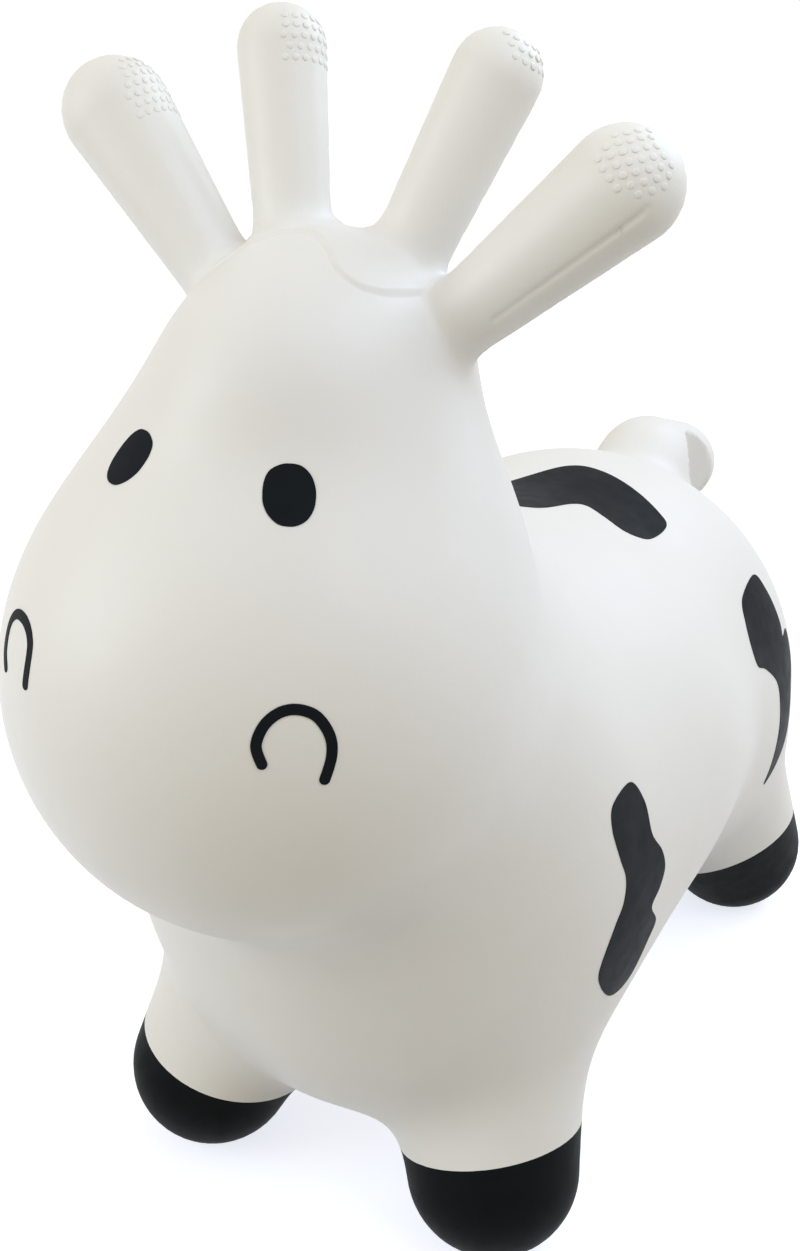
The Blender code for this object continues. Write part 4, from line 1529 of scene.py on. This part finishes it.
@dataclass
class GripPimples:
    """Small round pimples, moulded on the tips of the horns and ears so that hands do not slip."""

    form: MouldedForm
    skin: bpy.types.Material
    stubs: tuple[Stub, ...]
    fields: tuple[GripField, ...] = (
        GripField("ear_right", (0.80, 0.10, 0.60), 0.72, -0.0140, 0.0095),
        GripField("horn_right", (0.85, -0.05, 0.52), 0.62, -0.0110, 0.0100),
        GripField("horn_left", (0.75, -0.05, 0.66), 0.80, 0.0020, 0.0140),
        GripField("ear_left", (0.41, -0.66, 0.63), 0.78, -0.0040, 0.0170),
    )
    pitch: float = 0.0037
    radius: float = 0.0012
    height: float = 0.00026
    root: float = 0.0003
    weld: float = 0.000003
    sides: int = 12
    rings: int = 4
    rounds: int = 8

    def build(self) -> None:
        """Builds the pimples of each grip."""
        for grip in self.fields:
            stub = next(stub for stub in self.stubs if stub.name == grip.stub)
            spots = self.spots(grip, stub.limb)
            work = bmesh.new()
            for spot, normal in zip(spots, self.form.normals(spots)):
                turn(work, self.dome(), upright(spot, normal), self.sides)
            obj = smooth_object(work, f"{grip.stub}_pimples", self.skin, self.weld)
            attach(obj, stub.name)
            LOG.info("%s: %d pimples", obj.name, len(spots))

    def spots(self, grip: GripField, limb: Limb) -> np.ndarray:
        """Where the pimples stand on the skin, in rings round the tip that are set off from each other.

        Args:
            grip: The grip's field.
            limb: The upright that carries it.

        Returns:
            The pimples' places, one to a row.
        """
        tip = np.array(limb.foot)
        axis = (tip - np.array(limb.top)) / np.linalg.norm(tip - np.array(limb.top))
        across = np.cross(axis, (0.0, 0.0, 1.0))
        across /= np.linalg.norm(across)
        radius = limb.foot_radius
        quarter = radius * math.pi / 2
        found = []
        for index in range(int((quarter - grip.low) / self.pitch) + 1):
            run = (2 * index + 1) * self.pitch / 2
            bent = min(run, quarter) / radius
            girth = radius * math.sin(bent)
            height = radius * math.cos(bent) - max(run - quarter, 0)
            count = max(1, round(math.tau * girth / self.pitch))
            for angle in (np.arange(count) + index % 2 / 2) / count * math.tau:
                out = across * math.cos(angle) + np.cross(axis, across) * math.sin(angle)
                found.append(tip + axis * height + out * girth)
        places = self.form.settled(np.array(found), self.rounds)
        facing = self.form.normals(places) @ np.array(grip.facing) / np.linalg.norm(grip.facing)
        heights = (places - tip) @ axis
        return places[(facing > grip.least_cosine) & (heights > grip.low) & (heights < grip.high)]

    def dome(self) -> Outline:
        """A pimple's profile as radii and heights over the skin, from its root under the skin to its top.

        Returns:
            The profile.
        """
        arc = [(self.radius * math.cos(angle), self.height * math.sin(angle))
               for angle in np.linspace(0, math.pi / 2, self.rings + 1)]
        return [(0.0, -self.root), (self.radius, -self.root), *arc]


# ---------------------------------------------------------------- studio


@dataclass(frozen=True)
class Lamp:
    """A large square soft lamp that is aimed at the cow."""

    name: str
    place: Vec3
    power: float
    colour: Vec3
    size: float = 0.8


@dataclass
class Studio:
    """Floor, light and camera."""

    camera_place: Vec3 = (0.27638, -0.67406, 0.57402)
    azimuth: float = 25.437
    elevation: float = 25.764
    roll: float = 2.939
    lens: float = 51.37
    sensor: float = 36.0
    aim: Vec3 = (0.0, 0.0, 0.25)
    floor_size: float = 60.0
    floor_white: float = 0.55
    floor_glow: Vec3 = (0.72, 0.75, 0.82)
    sky_light: float = 0.60
    sky_colour: Vec3 = (1.0, 0.86, 0.60)
    lamps: tuple[Lamp, ...] = (
        Lamp("overhead", (0.6, -0.2, 1.2), 5.9, (0.60, 0.75, 1.0)),
        Lamp("behind", (0.4, 0.8, 1.0), 5.8, (0.66, 0.79, 1.0)),
        Lamp("front_left", (-0.9, -0.9, 0.6), 6.9, (0.78, 0.88, 1.0)),
    )

    def build(self) -> None:
        """Sets up the studio."""
        self.camera()
        self.floor()
        self.sky()
        for lamp in self.lamps:
            self.hang(lamp)

    def camera(self) -> None:
        """The camera at the photograph's place."""
        data = bpy.data.cameras.new("camera")
        data.lens = self.lens
        data.sensor_fit = "VERTICAL"
        data.sensor_height = self.sensor
        camera = placed(data)
        way = Matrix.Translation(self.camera_place)
        for angle, axis in ((self.azimuth, "Z"), (90 - self.elevation, "X"), (self.roll, "Z")):
            way = way @ Matrix.Rotation(math.radians(angle), 4, axis)
        camera.matrix_world = way
        bpy.context.scene.camera = camera

    def floor(self) -> None:
        """A plain white floor that keeps the cow's shadow."""
        work = bmesh.new()
        bmesh.ops.create_grid(work, x_segments=1, y_segments=1, size=self.floor_size / 2)
        mesh = bpy.data.meshes.new("floor")
        work.to_mesh(mesh)
        work.free()
        material = bpy.data.materials.new("floor_paper")
        nodes = Nodes(material)
        paper = nodes.add("ShaderNodeBsdfDiffuse", {"Color": (*(self.floor_white,) * 3, 1)})
        glow = nodes.add("ShaderNodeEmission", {"Color": (*self.floor_glow, 1), "Strength": self.seen(nodes)})
        both = nodes.add("ShaderNodeAddShader", {0: paper.outputs[0], 1: glow.outputs[0]})
        nodes.add("ShaderNodeOutputMaterial", {"Surface": both.outputs[0]})
        mesh.materials.append(material)
        placed(mesh)

    def seen(self, nodes: Nodes) -> bpy.types.NodeSocket:
        """One for rays from the camera, from gloss and through glass, or else nought.

        Args:
            nodes: The tree that the rays' test is built in.

        Returns:
            The output that gives the value.
        """
        path = nodes.add("ShaderNodeLightPath")
        value = path.outputs["Is Camera Ray"]
        for name in ("Is Glossy Ray", "Is Transmission Ray"):
            inputs = {0: value, 1: path.outputs[name]}
            value = nodes.add("ShaderNodeMath", inputs, operation="MAXIMUM").outputs[0]
        return value

    def sky(self) -> None:
        """Even light from all round, and a white background."""
        world = bpy.data.worlds.new("studio")
        bpy.context.scene.world = world
        nodes = Nodes(world)
        light = nodes.add("ShaderNodeBackground", {"Color": (*self.sky_colour, 1), "Strength": self.sky_light})
        backdrop = nodes.add("ShaderNodeBackground", {"Color": WHITE})
        inputs = {0: self.seen(nodes), 1: light.outputs[0], 2: backdrop.outputs[0]}
        mix = nodes.add("ShaderNodeMixShader", inputs)
        nodes.add("ShaderNodeOutputWorld", {"Surface": mix.outputs[0]})

    def hang(self, lamp: Lamp) -> None:
        """Hangs a lamp in its place.

        Args:
            lamp: The lamp.
        """
        data = bpy.data.lights.new(lamp.name, "AREA")
        data.size = lamp.size
        data.energy = lamp.power
        data.color = lamp.colour
        obj = placed(data)
        obj.location = lamp.place
        obj.rotation_mode = "QUATERNION"
        obj.rotation_quaternion = (Vector(self.aim) - Vector(lamp.place)).to_track_quat("-Z", "Y")


def main() -> None:
    """Builds the cow and the studio."""
    form = MouldedForm()
    white = SOFT_PVC.material()
    valve = Valve(form, white, PLUG_PLASTIC.material())
    skin = Skin(form, white, HOOF_PAINT.material(), valve)
    skin.build()
    GripPimples(form, white, skin.stubs).build()
    Paintwork(form, BLACK_PAINT.material()).build()
    valve.build()
    Studio().build()
    bpy.context.scene.view_settings.view_transform = "Standard"


if __name__ == "__main__":
    logging.basicConfig(level=logging.INFO, format="%(name)s: %(message)s")
    main()
